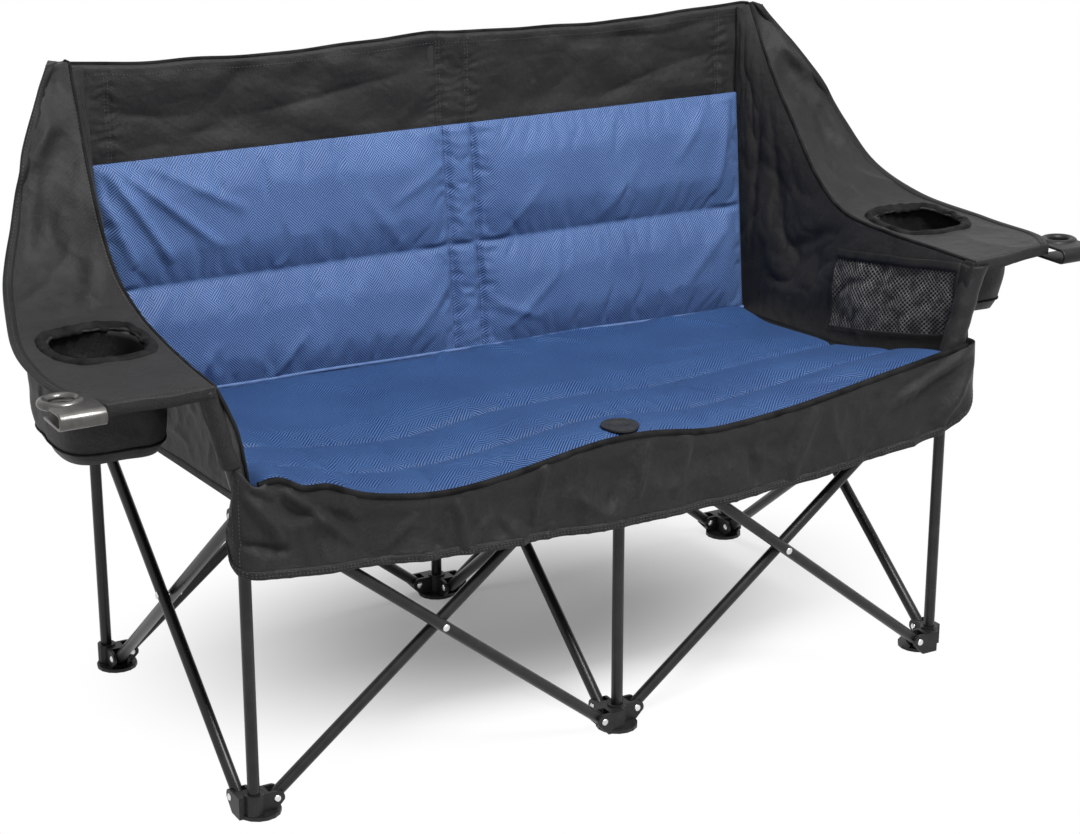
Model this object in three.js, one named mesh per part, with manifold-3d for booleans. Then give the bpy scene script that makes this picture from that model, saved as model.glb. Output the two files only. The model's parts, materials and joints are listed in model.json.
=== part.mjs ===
// Folding two-seat camping chair: six posts, seven scissor bays, and a sewn seat, back and arms.
// Millimetres, +Z up, the front faces -Y and +X is to the right of someone looking at the front.
import * as THREE from 'three';
import { mergeVertices } from 'three/addons/utils/BufferGeometryUtils.js';
import Module from 'manifold-3d';

// Posts and tubes
const POST_SPACING = 540;
const TUBE_DIAMETER = 16;
const TUBE_WALL = 1;
const TUBE_SIDES = 12;
const FIT = 0.3;
const BACK_POST_TOP = 872;
const ARM_POST_DROP = 9;
const ARM_POST_BEND = 12;
const ARM_POST_LEAN = 40;
const ARM_POST_FORWARD = 4;

// Scissor struts and their pins
const PIVOT_REACH = 31;
const FOOT_PIVOT_HEIGHT = 20;
const BRACKET_DROP = 25.5;
const CROSSING_GAP = 1;
const STRUT_END = 6;
const PIN_DIAMETER = 6;
const PIN_END = 1.5;
const RIVET_DIAMETER = 5;
const RIVET_HEAD_DIAMETER = 10;
const RIVET_HEAD_HEIGHT = 2.5;
const PIN_SIDES = 8;
const END_PLUG = 12;

// Moulded feet and brackets
const CHEEK = 4;
const EAR_RADIUS = 10.5;
const COLLAR_WALL = 4.5;
const SLOT_CLEARANCE = 0.5;
const FOOT_DIAMETER = 58;
const FOOT_SIDES = 16;
const FOOT_BASE = 5;
const FOOT_COLLAR_TOP = 33;
const CORNER_SHIFT = 11;
const SOCKET_FLOOR = 5;
const BRACKET_HEIGHT = 30;

// Quilted seat
const SEAT_SIDE_INSET = 14;
const SEAT_FRONT_REACH = 24.5;
const SEAT_MIDDLE_HEIGHT = 425.5;
const SEAT_CORNER_RISE = 30.5;
const SEAT_REAR_DROP = 25.5;
const SEAT_EDGE_SAG = 28;
const SEAT_HOLLOW = 10;
const SEAT_UNDERSIDE = 6;
const SEAT_FILL = 10;
const SEAM_FILL = 2;
const SEAT_EDGE_DEPTH = 42.5;
const SEAT_FRONT_CHANNEL = 105;
const SEAT_REAR_CHANNEL = 230;
const CHANNEL_HALF_WIDTH = 34;
const BUTTON_DIAMETER = 52;
const BUTTON_SIDES = 12;
const BUTTON_HEIGHT = 4;
const BUTTON_STUD = 9;
const BUTTON_STUD_LENGTH = 24;
const BUTTON_EDGE = 1;
const BUTTON_DISH_OUTER = 0.45;
const BUTTON_DISH_INNER = 0.35;

// Back: quilted pad, top band and the sleeve of the middle post
const BAND_DEPTH = 130;
const PAD_TOP_INSET = 18;
const PAD_FOOT_INSET = 51;
const PAD_SIDE_INSET = 14;
const PAD_BACKING = 6;
const PAD_FILL = 13;
const PAD_CHANNEL_SHARE = 0.482;
const CLOTH = 3;
const BAND_CLEARANCE = 0.5;
const BAND_OVERHANG = 13;
const BAND_TOP_GAP = 2;
const SLEEVE_WALL = 2;
const SLEEVE_CLEARANCE = 3;
const SLEEVE_RISE = 25;
const STITCH_HALF_WIDTH = 23;
const STITCH_TOP_SHIFT = 34;
const STITCH_FOOT_SHIFT = 35;
const BAND_CORNER_STEPS = 4;

// Sides, wings and arms
const ARM_HEIGHT = 586;
const WING_SPREAD = 208;
const WING_CLOTH = 4;
const WING_HOLLOW = 9;
const WING_HOLLOW_END = 0.8;
const ARM_START = 0.4;
const PANEL_CLOTH = 4;
const PANEL_START = 0.04;
const PANEL_BACK_SHARE = 0.45;
const PANEL_FRONT_RISE = 2.5;
const PANEL_REAR_DROP = 1;
const PANEL_TOP_GAP = 3.4;
const PANEL_BACK_GAP = 2.6;
const POST_SLEEVE_WALL = 3.5;
const POST_SLEEVE_RISE = 62;
const CUP_HOLE = 108;
const CUP_HOLE_RADIUS = 44;
const CUP_OUT = 102;
const CUP_BACK = 198;
const POUCH_WIDTH = 144;
const POUCH_LENGTH = 190;
const POUCH_DEPTH = 106;
const POUCH_OUT = 116;
const POUCH_BACK = 166;
const POUCH_SHRINK = 6;
const POUCH_LEVELS = [0, 0.35, 0.7, 1];
const POUCH_SIDES = 16;
const POUCH_ROUND = 3;
const NET_FRONT = 22;
const NET_LENGTH = 240;
const NET_RISE = 36;
const NET_HEIGHT = 92;
const NET_CLOTH = 1.6;
const NET_CORD = 5;
const NET_HEM = 14;
const NET_COLUMNS = 7;
const NET_ROWS = 3;

// Front skirt
const SKIRT_SIDE = 21;
const SKIRT_RETURN = 24;
const SKIRT_CORNER = 22;
const SKIRT_DROP = 119.5;
const SKIRT_CORNER_LIFT = 32;
const SKIRT_FOLD = 5;
const SKIRT_FOLDS = 9;
const SKIRT_RISE = 3;

// Facets of the soft pieces
const SEAT_HALF_COLUMNS = 9;
const SEAT_EDGE_ROWS = 3;
const SEAT_PANEL_ROWS = 8;
const PAD_HALF_COLUMNS = 7;
const PAD_HALF_ROWS = 5;
const SKIRT_COLUMNS = 20;
const SKIRT_CORNER_COLUMNS = 3;
const CLOTH_ROWS = 3;
const PANEL_COLUMNS = 18;
const WING_COLUMNS = 22;
const ARM_COLUMNS = 15;
const CUP_CORNER_STEPS = 4;
const CLIP_BEND_STEPS = 5;

// Glass clips
const CLIP_WIDTH = 60;
const CLIP_LENGTH = 80;
const CLIP_HEIGHT = 22;
const CLIP_WALL = 4;
const CLIP_OUT = 206;
const CLIP_FRONT = 42;
const CLIP_JAW = 62;
const CLIP_LOOP_WIDTH = 30;
const CLIP_LOOP_LENGTH = 24;
const CLIP_LOOP_OUT = 7;
const CLIP_LOOP_BACK = 58;
const CLIP_SEAT_ALONG = 0.96;
const CLIP_SEAT_ACROSS = 0.8;

const tubeRadius = TUBE_DIAMETER / 2;
const postX = POST_SPACING;
const armPostTop = ARM_HEIGHT - ARM_POST_DROP;
const bracketPivotHeight = SEAT_MIDDLE_HEIGHT - BRACKET_DROP;
const seatCornerHeight = SEAT_MIDDLE_HEIGHT + SEAT_CORNER_RISE;
const seatRearHeight = SEAT_MIDDLE_HEIGHT - SEAT_REAR_DROP;
const padTop = BACK_POST_TOP - BAND_DEPTH;
const panelFrontFoot = SEAT_MIDDLE_HEIGHT + PANEL_FRONT_RISE;
const panelRearFoot = seatRearHeight - PANEL_REAR_DROP;
const netFoot = panelFrontFoot + NET_RISE;
const skirtMiddleFoot = SEAT_MIDDLE_HEIGHT - SKIRT_DROP;
const frontY = -POST_SPACING / 2;
const backY = POST_SPACING / 2;
const strutPlane = (TUBE_DIAMETER + CROSSING_GAP) / 2;
const slotHalf = tubeRadius + FIT;
const forkHalf = slotHalf + CHEEK;
const pinHalf = forkHalf + PIN_END;
const collarRadius = tubeRadius + FIT + COLLAR_WALL;

const X = new THREE.Vector3(1, 0, 0);
const Y = new THREE.Vector3(0, 1, 0);
const Z = new THREE.Vector3(0, 0, 1);

const wasm = await Module();
wasm.setup();
const { Manifold, Mesh: SolidMesh } = wasm;

// Turns a closed geometry into a solid that can be joined and cut
function solid(geometry, matrix) {
  const bare = geometry.clone();
  if (matrix) {
    bare.applyMatrix4(matrix);
  }
  bare.deleteAttribute('normal');
  bare.deleteAttribute('uv');
  const merged = mergeVertices(bare, 1e-4);
  return new Manifold(new SolidMesh({
    numProp: 3,
    vertProperties: new Float32Array(merged.attributes.position.array),
    triVerts: new Uint32Array(merged.index.array),
  }));
}

function geometryOf(made) {
  const { vertProperties, triVerts, numProp } = made.getMesh();
  const positions = [];
  for (let i = 0; i < vertProperties.length; i += numProp) {
    positions.push(vertProperties[i], vertProperties[i + 1], vertProperties[i + 2]);
  }
  const geometry = new THREE.BufferGeometry();
  geometry.setAttribute('position', new THREE.Float32BufferAttribute(positions, 3));
  geometry.setIndex([...triVerts]);
  geometry.computeVertexNormals();
  return geometry;
}

// A round bar between two points
function bar(from, to, radius, sides = PIN_SIDES) {
  const axis = new THREE.Vector3().subVectors(to, from);
  const turn = new THREE.Quaternion().setFromUnitVectors(Y, axis.clone().normalize());
  const middle = new THREE.Vector3().addVectors(from, to).multiplyScalar(0.5);
  const place = new THREE.Matrix4().compose(middle, turn, new THREE.Vector3(1, 1, 1));
  return solid(new THREE.CylinderGeometry(radius, radius, axis.length(), sides), place);
}

function upright(x, y, low, high, radius, sides = TUBE_SIDES) {
  return bar(new THREE.Vector3(x, y, low), new THREE.Vector3(x, y, high), radius, sides);
}

// An outline drawn on axes `right` and `up`, given a thickness from `origin` along their cross product
function slab(shape, depth, origin, right, up, curveSegments = 3) {
  const place = new THREE.Matrix4().makeBasis(right, up, new THREE.Vector3().crossVectors(right, up));
  place.setPosition(origin);
  return solid(new THREE.ExtrudeGeometry(shape, { depth, bevelEnabled: false, curveSegments }), place);
}

function roundedRectangle(width, height, radius) {
  const w = width / 2 - radius;
  const h = height / 2 - radius;
  const shape = new THREE.Shape();
  shape.absarc(w, -h, radius, -Math.PI / 2, 0);
  shape.absarc(w, h, radius, 0, Math.PI / 2);
  shape.absarc(-w, h, radius, Math.PI / 2, Math.PI);
  shape.absarc(-w, -h, radius, Math.PI, Math.PI * 1.5);
  shape.closePath();
  return shape;
}

function polygon(points) {
  return new THREE.Shape(points.map(([a, b]) => new THREE.Vector2(a, b)));
}

function steps(from, to, count) {
  return Array.from({ length: count + 1 }, (_, i) => from + (to - from) * i / count);
}

// Closes the space between two faces given as functions of two grid values
function padded(us, vs, face, backing) {
  const positions = [];
  for (const side of [face, backing]) {
    for (const v of vs) {
      for (const u of us) {
        positions.push(...side(u, v).toArray());
      }
    }
  }
  const columns = us.length;
  const half = columns * vs.length;
  const triangles = [];
  const quad = (a, b, c, d) => triangles.push(a, b, c, a, c, d);
  for (let j = 0; j + 1 < vs.length; j += 1) {
    for (let i = 0; i + 1 < columns; i += 1) {
      const a = j * columns + i;
      quad(a, a + 1, a + columns + 1, a + columns);
      quad(half + a, half + a + columns, half + a + columns + 1, half + a + 1);
    }
  }
  const last = half - columns;
  for (let i = 0; i + 1 < columns; i += 1) {
    quad(i, half + i, half + i + 1, i + 1);
    quad(last + i, last + i + 1, half + last + i + 1, half + last + i);
  }
  for (let j = 0; j + 1 < vs.length; j += 1) {
    const a = j * columns;
    const b = a + columns - 1;
    quad(a, a + columns, half + a + columns, half + a);
    quad(b, half + b, half + b + columns, b + columns);
  }
  if (signedVolume(positions, triangles) < 0) {
    triangles.reverse();
  }
  const geometry = new THREE.BufferGeometry();
  geometry.setAttribute('position', new THREE.Float32BufferAttribute(positions, 3));
  geometry.setIndex(triangles);
  geometry.computeVertexNormals();
  return geometry;
}

function signedVolume(positions, triangles) {
  const corner = (i) => new THREE.Vector3().fromArray(positions, 3 * i);
  let total = 0;
  for (let i = 0; i < triangles.length; i += 3) {
    const [a, b, c] = [corner(triangles[i]), corner(triangles[i + 1]), corner(triangles[i + 2])];
    total += a.dot(b.cross(c));
  }
  return total;
}

// A cloth of even thickness about a middle surface
function cloth(us, vs, middle, thickness) {
  const step = 1e-3;
  const normal = (u, v) => {
    const [u0, u1] = [Math.max(u - step, us[0]), Math.min(u + step, us.at(-1))];
    const [v0, v1] = [Math.max(v - step, vs[0]), Math.min(v + step, vs.at(-1))];
    const along = middle(u1, v).sub(middle(u0, v));
    const across = middle(u, v1).sub(middle(u, v0));
    return along.cross(across).normalize().multiplyScalar(thickness / 2);
  };
  return padded(
    us,
    vs,
    (u, v) => middle(u, v).add(normal(u, v)),
    (u, v) => middle(u, v).sub(normal(u, v)),
  );
}

// Closes a stack of loops with a fan at each end
function stacked(loops) {
  const count = loops[0].length;
  const positions = loops.flat().flatMap((p) => p.toArray());
  const total = (loop) => loop.reduce((sum, p) => sum.add(p), new THREE.Vector3());
  const ends = [loops[0], loops.at(-1)].map((loop) => total(loop).divideScalar(count));
  positions.push(...ends[0].toArray(), ...ends[1].toArray());
  const bottom = loops.length * count;
  const triangles = [];
  for (let i = 0; i < count; i += 1) {
    const next = (i + 1) % count;
    for (let level = 0; level + 1 < loops.length; level += 1) {
      const [a, b] = [level * count + i, level * count + next];
      triangles.push(a, b, b + count, a, b + count, a + count);
    }
    const last = bottom - count;
    triangles.push(bottom, next, i, bottom + 1, last + i, last + next);
  }
  const geometry = new THREE.BufferGeometry();
  geometry.setAttribute('position', new THREE.Float32BufferAttribute(positions, 3));
  geometry.setIndex(triangles);
  return geometry;
}

const loveseat = new THREE.Group();

function finish(colour, roughness, metalness = 0) {
  return () => new THREE.MeshStandardMaterial({ color: colour, roughness, metalness });
}

const blackCoat = finish(0x17181a, 0.42, 0.3);
const blackPlastic = finish(0x141415, 0.5);
const rivetSteel = finish(0xc9cbcd, 0.3, 1);
const blackCloth = finish(0x26262a, 0.9);
const blueCloth = finish(0x3d61a6, 0.85);
const netCloth = finish(0x1b1b1d, 0.9);
const clipFinish = { left: finish(0x8d8a86, 0.35, 0.6), right: finish(0x161617, 0.45) };

function add(name, geometry, material) {
  const mesh = new THREE.Mesh(geometry, material());
  mesh.name = name;
  loveseat.add(mesh);
}

// Posts by name, with their place in the grid of three by two
const posts = {
  front_left: { x: -postX, y: frontY },
  front_middle: { x: 0, y: frontY },
  front_right: { x: postX, y: frontY },
  back_left: { x: -postX, y: backY },
  back_middle: { x: 0, y: backY },
  back_right: { x: postX, y: backY },
};

// Each bay has two struts, from the foot of one post to the bracket of the other
const bays = {
  front_left: { outer: ['front_middle', 'front_left', -1], inner: ['front_left', 'front_middle', 1] },
  front_right: { outer: ['front_right', 'front_middle', -1], inner: ['front_middle', 'front_right', 1] },
  left_side: { outer: ['front_left', 'back_left', -1], inner: ['back_left', 'front_left', 1] },
  right_side: { outer: ['front_right', 'back_right', 1], inner: ['back_right', 'front_right', -1] },
  middle: { left: ['front_middle', 'back_middle', -1], right: ['back_middle', 'front_middle', 1] },
  rear_left: { outer: ['back_middle', 'back_left', 1], inner: ['back_left', 'back_middle', -1] },
  rear_right: { outer: ['back_right', 'back_middle', 1], inner: ['back_middle', 'back_right', -1] },
};

// One strut's line: along its bay, square to its bay, and its two pivots
function strutLine([footPost, bracketPost, side]) {
  const from = posts[footPost];
  const to = posts[bracketPost];
  const along = new THREE.Vector3(to.x - from.x, to.y - from.y, 0).normalize();
  const square = Math.abs(along.x) > 0.5 ? Y.clone() : X.clone();
  const offset = square.clone().multiplyScalar(side * strutPlane);
  const pivot = (post, reach, height) => new THREE.Vector3(post.x, post.y, height)
    .addScaledVector(along, reach)
    .add(offset);
  return {
    along,
    square,
    offset,
    low: pivot(from, PIVOT_REACH, FOOT_PIVOT_HEIGHT),
    high: pivot(to, -PIVOT_REACH, bracketPivotHeight),
  };
}

// A pin square to the bay, as long to each side of its centre
function pin(centre, square, half, radius) {
  const reach = square.clone().multiplyScalar(half);
  return bar(centre.clone().sub(reach), centre.clone().add(reach), radius);
}

// The rivet at a crossing passes through both struts of its bay
const rivetHalf = strutPlane + tubeRadius + FIT + RIVET_HEAD_HEIGHT;

// The tube's ends are plugged, and its bore opens at the hole for the crossing rivet
function strutSolid({ low, high, square, offset }) {
  const axis = new THREE.Vector3().subVectors(high, low).normalize();
  const from = low.clone().addScaledVector(axis, -STRUT_END);
  const to = high.clone().addScaledVector(axis, STRUT_END);
  const tube = bar(from, to, tubeRadius, TUBE_SIDES);
  const boreFrom = from.clone().addScaledVector(axis, END_PLUG);
  const boreTo = to.clone().addScaledVector(axis, -END_PLUG);
  const bore = bar(boreFrom, boreTo, tubeRadius - TUBE_WALL, TUBE_SIDES);
  const crossing = low.clone().add(high).multiplyScalar(0.5).sub(offset);
  const hole = pin(crossing, square, rivetHalf, RIVET_DIAMETER / 2 + FIT);
  let made = tube.subtract(bore).subtract(hole);
  for (const pivot of [low, high]) {
    made = made.add(pin(pivot, square, pinHalf, PIN_DIAMETER / 2));
  }
  return made;
}

const forks = { foot: {}, bracket: {} };
for (const [bay, struts] of Object.entries(bays)) {
  for (const [place, ends] of Object.entries(struts)) {
    const line = strutLine(ends);
    add(`${bay}_${place}_strut`, geometryOf(strutSolid(line)), blackCoat);
    (forks.foot[ends[0]] ??= []).push({ ...line, pivot: line.low, away: line.along });
    const back = line.along.clone().negate();
    (forks.bracket[ends[1]] ??= []).push({ ...line, pivot: line.high, away: back });
  }
  const line = strutLine(Object.values(struts)[0]);
  const crossing = line.low.clone().add(line.high).multiplyScalar(0.5).sub(line.offset);
  const shank = pin(crossing, line.square, rivetHalf, RIVET_DIAMETER / 2);
  const heads = [-1, 1].map((end) => {
    const reach = end * (rivetHalf - RIVET_HEAD_HEIGHT / 2);
    const head = crossing.clone().addScaledVector(line.square, reach);
    return pin(head, line.square, RIVET_HEAD_HEIGHT / 2, RIVET_HEAD_DIAMETER / 2);
  });
  const rivet = shank.add(heads[0]).add(heads[1]);
  add(`${bay}_rivet`, geometryOf(rivet), rivetSteel);
}

// A fork that holds one strut end: its side outline, slotted for the tube and bored for the pin
const swing = Math.hypot(STRUT_END, tubeRadius) + SLOT_CLEARANCE;

function forkSolid({ pivot, square, away }, outline, slotLow, slotHigh) {
  const ground = new THREE.Vector3(pivot.x, pivot.y, 0).addScaledVector(away, -PIVOT_REACH);
  const right = away.clone();
  const depthAxis = new THREE.Vector3().crossVectors(right, Z);
  const start = ground.clone().addScaledVector(depthAxis, -forkHalf);
  const body = slab(outline, 2 * forkHalf, start, right, Z);
  const slotStart = ground.clone().addScaledVector(depthAxis, -slotHalf);
  const near = PIVOT_REACH - swing;
  const far = PIVOT_REACH + 2 * EAR_RADIUS;
  const opening = polygon([[near, slotLow], [far, slotLow], [far, slotHigh], [near, slotHigh]]);
  const slot = slab(opening, 2 * slotHalf, slotStart, right, Z);
  const bore = pin(pivot, square, pinHalf, PIN_DIAMETER / 2 + FIT);
  return { body, cuts: [slot, bore] };
}

function moulding(name, core, held, outline, slotLow, slotHigh, postBore) {
  let made = core;
  const parts = held.map((fork) => forkSolid(fork, outline, slotLow, slotHigh));
  for (const part of parts) {
    made = made.add(part.body);
  }
  for (const part of parts) {
    for (const removed of part.cuts) {
      made = made.subtract(removed);
    }
  }
  add(name, geometryOf(made.subtract(postBore)), blackPlastic);
}

// Seen square to its bay, a foot's ear leans out from the base to the round end about the pivot
const earStart = -Math.PI / 9;
const footOutline = new THREE.Shape();
footOutline.moveTo(0, 0);
footOutline.lineTo(FOOT_DIAMETER / 2 - CHEEK, 0);
footOutline.absarc(PIVOT_REACH, FOOT_PIVOT_HEIGHT, EAR_RADIUS, earStart, Math.PI / 2);
footOutline.lineTo(0, FOOT_PIVOT_HEIGHT + EAR_RADIUS);
footOutline.closePath();

const bracketOutline = new THREE.Shape();
bracketOutline.moveTo(0, bracketPivotHeight - EAR_RADIUS);
bracketOutline.absarc(PIVOT_REACH, bracketPivotHeight, EAR_RADIUS, -Math.PI / 2, Math.PI / 2);
bracketOutline.lineTo(0, bracketPivotHeight + EAR_RADIUS);
bracketOutline.closePath();

const bracketLow = bracketPivotHeight - BRACKET_HEIGHT / 2;
const bracketHigh = bracketPivotHeight + BRACKET_HEIGHT / 2;

const seatHalf = postX - SEAT_SIDE_INSET;
const seatFront = frontY - SEAT_FRONT_REACH;
const seatRear = backY - PAD_FOOT_INSET - SEAM_FILL - FIT;
const buttonReach = BUTTON_DIAMETER / 2;

// The cloth under the quilting: held up at the posts, flat under the button and hollow between them
function seatBase(x, y) {
  const across = Math.max(0, Math.abs(x) - buttonReach) / (seatHalf - buttonReach);
  const along = (y - seatFront) / (seatRear - seatFront);
  const lift = (seatCornerHeight - SEAT_MIDDLE_HEIGHT) * across ** 2;
  const edge = SEAT_MIDDLE_HEIGHT + lift - SEAT_EDGE_SAG * Math.sin(Math.PI * across);
  const hollow = SEAT_HOLLOW * Math.sin(Math.PI * along);
  return THREE.MathUtils.lerp(edge, seatRearHeight, along) - hollow;
}

// Filling swells away from each seam in the list, up to a full share of 1
function swell(value, seams, halfWidth) {
  const near = Math.min(...seams.map((seam) => Math.abs(value - seam)));
  const share = Math.min(near / halfWidth, 1);
  return Math.sqrt(share * (2 - share));
}

const seatSeams = [seatFront, seatFront + SEAT_FRONT_CHANNEL, seatFront + SEAT_REAR_CHANNEL, seatRear];

function seatTop(x, y) {
  const lengthways = swell(y, seatSeams, CHANNEL_HALF_WIDTH);
  const crossways = swell(x, [-seatHalf, seatHalf], CHANNEL_HALF_WIDTH);
  return seatBase(x, y) + SEAM_FILL + SEAT_FILL * lengthways * crossways;
}

const seatPostTop = seatBase(0, frontY + tubeRadius) - SEAT_UNDERSIDE - FIT;

// A front corner post is bent above its bracket and leans out to the arm
const bendHeight = bracketHigh + ARM_POST_BEND;
const leanFoot = new THREE.Vector3(postX, frontY, bendHeight);
const leanTop = new THREE.Vector3(postX + ARM_POST_LEAN, frontY - ARM_POST_FORWARD, armPostTop);

// Level ring round the right-hand post's axis at a height
function postRing(z, radius) {
  const lean = Math.max(0, z - bendHeight) / (armPostTop - bendHeight);
  const centre = new THREE.Vector3().lerpVectors(leanFoot, leanTop, lean);
  return steps(0, 2 * Math.PI, TUBE_SIDES).slice(0, -1).map((turn) => new THREE.Vector3(
    centre.x + radius * Math.cos(turn),
    centre.y + radius * Math.sin(turn),
    z,
  ));
}

function armPost(low, high, radius) {
  const heights = low < bendHeight ? [low, bendHeight, high] : [low, high];
  return solid(stacked(heights.map((z) => postRing(z, radius))));
}

for (const [name, { x, y }] of Object.entries(posts)) {
  const top = name === 'front_middle' ? seatPostTop : BACK_POST_TOP;
  if (name === 'front_left' || name === 'front_right') {
    const tube = armPost(SOCKET_FLOOR + FIT, armPostTop, tubeRadius);
    const bore = armPost(0, armPostTop + TUBE_DIAMETER, tubeRadius - TUBE_WALL);
    add(`${name}_post`, mirrored(geometryOf(tube.subtract(bore)), Math.sign(x)), blackCoat);
  } else {
    const tube = upright(x, y, SOCKET_FLOOR + FIT, top, tubeRadius);
    const bore = upright(x, y, 0, top + TUBE_DIAMETER, tubeRadius - TUBE_WALL);
    add(`${name}_post`, geometryOf(tube.subtract(bore)), blackCoat);
  }

  // A corner foot stands in from its post, towards the middle of the chair
  const shiftX = -Math.sign(x) * CORNER_SHIFT;
  const shiftY = x === 0 ? 0 : -Math.sign(y) * CORNER_SHIFT;
  const base = upright(x + shiftX, y + shiftY, 0, FOOT_BASE, FOOT_DIAMETER / 2, FOOT_SIDES);
  const footCollar = upright(x, y, 0, FOOT_COLLAR_TOP, collarRadius);
  const socket = upright(x, y, SOCKET_FLOOR, 2 * FOOT_COLLAR_TOP, tubeRadius + FIT);
  moulding(
    `${name}_foot`,
    base.add(footCollar),
    forks.foot[name],
    footOutline,
    FOOT_PIVOT_HEIGHT - swing,
    2 * FOOT_COLLAR_TOP,
    socket,
  );

  const bracketCollar = upright(x, y, bracketLow, bracketHigh, collarRadius);
  const through = upright(x, y, bracketLow - CHEEK, bracketHigh + CHEEK, tubeRadius + FIT);
  moulding(
    `${name}_bracket`,
    bracketCollar,
    forks.bracket[name],
    bracketOutline,
    bracketLow - CHEEK,
    bracketHigh + CHEEK,
    through,
  );
}

// Seat: a front edge, a front half and a rear half, sewn together across the width
const sideColumns = steps(buttonReach, seatHalf, SEAT_HALF_COLUMNS);
const seatColumns = [...sideColumns.map((x) => -x).reverse(), ...sideColumns];

function seatPanel(from, to, rows) {
  return padded(
    seatColumns,
    steps(from, to, rows),
    (x, y) => new THREE.Vector3(x, y, seatTop(x, y)),
    (x, y) => new THREE.Vector3(x, y, seatBase(x, y) - SEAT_UNDERSIDE),
  );
}

const edgeRear = seatFront + SEAT_EDGE_DEPTH;
const seatSplit = seatFront + SEAT_REAR_CHANNEL;
const studHole = upright(0, frontY, 0, BACK_POST_TOP, BUTTON_STUD / 2 + FIT, BUTTON_SIDES);
const edgePanel = solid(seatPanel(seatFront, edgeRear, SEAT_EDGE_ROWS)).subtract(studHole);
add('seat_edge', geometryOf(edgePanel), blueCloth);
add('seat_front', seatPanel(edgeRear + FIT, seatSplit, SEAT_PANEL_ROWS), blueCloth);
add('seat_rear', seatPanel(seatSplit + FIT, seatRear, SEAT_PANEL_ROWS), blueCloth);

// Round button that pins the front edge to the middle post
const buttonSeat = Math.max(...steps(0, 2 * Math.PI, PIN_SIDES).map(
  (turn) => seatTop(buttonReach * Math.cos(turn), frontY + buttonReach * Math.sin(turn)),
), seatTop(0, frontY)) + FIT;
const buttonProfile = [
  [0, buttonSeat - BUTTON_STUD_LENGTH],
  [BUTTON_STUD / 2, buttonSeat - BUTTON_STUD_LENGTH],
  [BUTTON_STUD / 2, buttonSeat],
  [buttonReach, buttonSeat],
  [buttonReach - BUTTON_EDGE, buttonSeat + BUTTON_HEIGHT / 2],
  [buttonReach * BUTTON_DISH_OUTER, buttonSeat + BUTTON_HEIGHT],
  [buttonReach * BUTTON_DISH_INNER, buttonSeat + BUTTON_HEIGHT / 2],
  [0, buttonSeat + BUTTON_HEIGHT / 2],
].map(([r, h]) => new THREE.Vector2(r, h));
const button = new THREE.LatheGeometry(buttonProfile, BUTTON_SIDES);
button.rotateX(Math.PI / 2);
button.translate(0, frontY, 0);
add('seat_button', geometryOf(solid(button)), blackPlastic);

// Back pad: leans back from the seat to the band, with one channel and the stitching of the middle sleeve
const padHalf = postX - PAD_SIDE_INSET;
const padFoot = seatRearHeight + SEAM_FILL;
const padChannel = THREE.MathUtils.lerp(padFoot, padTop, PAD_CHANNEL_SHARE);

function padLine(z) {
  const up = (z - padFoot) / (padTop - padFoot);
  return THREE.MathUtils.lerp(backY - PAD_FOOT_INSET, backY - PAD_TOP_INSET, up);
}

// The stitching runs aslant, from the band down to the seat
function padStitch(z) {
  const up = (z - padFoot) / (padTop - padFoot);
  return THREE.MathUtils.lerp(STITCH_FOOT_SHIFT, STITCH_TOP_SHIFT, up);
}

// A column's place across, from -1 at the left edge through 0 at the stitching to 1 at the right edge
function padAcross(column, z) {
  return THREE.MathUtils.lerp(padStitch(z), Math.sign(column) * padHalf, Math.abs(column));
}

function padFace(x, z) {
  const middle = padStitch(z);
  const seamsAcross = [-padHalf, middle - STITCH_HALF_WIDTH, middle + STITCH_HALF_WIDTH, padHalf];
  const crossways = swell(x, seamsAcross, CHANNEL_HALF_WIDTH);
  const upwards = swell(z, [padFoot, padChannel, padTop], CHANNEL_HALF_WIDTH);
  return padLine(z) - SEAM_FILL - PAD_FILL * crossways * upwards;
}

const fieldColumns = steps(STITCH_HALF_WIDTH / padHalf, 1, PAD_HALF_COLUMNS);
const padColumns = [...fieldColumns.map((column) => -column).reverse(), 0, ...fieldColumns];
const padRows = [
  ...steps(padFoot, padChannel, PAD_HALF_ROWS),
  ...steps(padChannel, padTop, PAD_HALF_ROWS).slice(1),
];
add('back_pad', padded(
  padColumns,
  padRows,
  (column, z) => new THREE.Vector3(padAcross(column, z), padFace(padAcross(column, z), z), z),
  (column, z) => new THREE.Vector3(padAcross(column, z), padLine(z) + PAD_BACKING, z),
), blueCloth);

// Top band: doubled cloth over the tops of the three back posts
const bandFront = backY - tubeRadius - BAND_CLEARANCE;
const bandRear = backY + tubeRadius + BAND_CLEARANCE;
const bandHalf = postX + BAND_OVERHANG;
const bandCeiling = BACK_POST_TOP + BAND_TOP_GAP;
const bandFoot = padTop + FIT;
const bandOutline = new THREE.Shape();
bandOutline.moveTo(bandFront - CLOTH, bandFoot);
bandOutline.lineTo(bandFront, bandFoot);
bandOutline.lineTo(bandFront, bandCeiling);
bandOutline.lineTo(bandRear, bandCeiling);
bandOutline.lineTo(bandRear, bandFoot);
bandOutline.lineTo(bandRear + CLOTH, bandFoot);
bandOutline.absarc(bandRear, bandCeiling, CLOTH, 0, Math.PI / 2);
bandOutline.absarc(bandFront, bandCeiling, CLOTH, Math.PI / 2, Math.PI);
bandOutline.closePath();
const bandStart = new THREE.Vector3(-bandHalf, 0, 0);
const band = slab(bandOutline, 2 * bandHalf, bandStart, Y, Z, BAND_CORNER_STEPS);
add('back_band', geometryOf(band), blackCloth);

// Sleeve of the middle post, sewn to the rear of the pad
const sleeveHalf = tubeRadius + SLEEVE_CLEARANCE + SLEEVE_WALL;
const sleeveTop = padTop - FIT;
const sleeveFoot = bracketHigh + SLEEVE_RISE;

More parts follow.
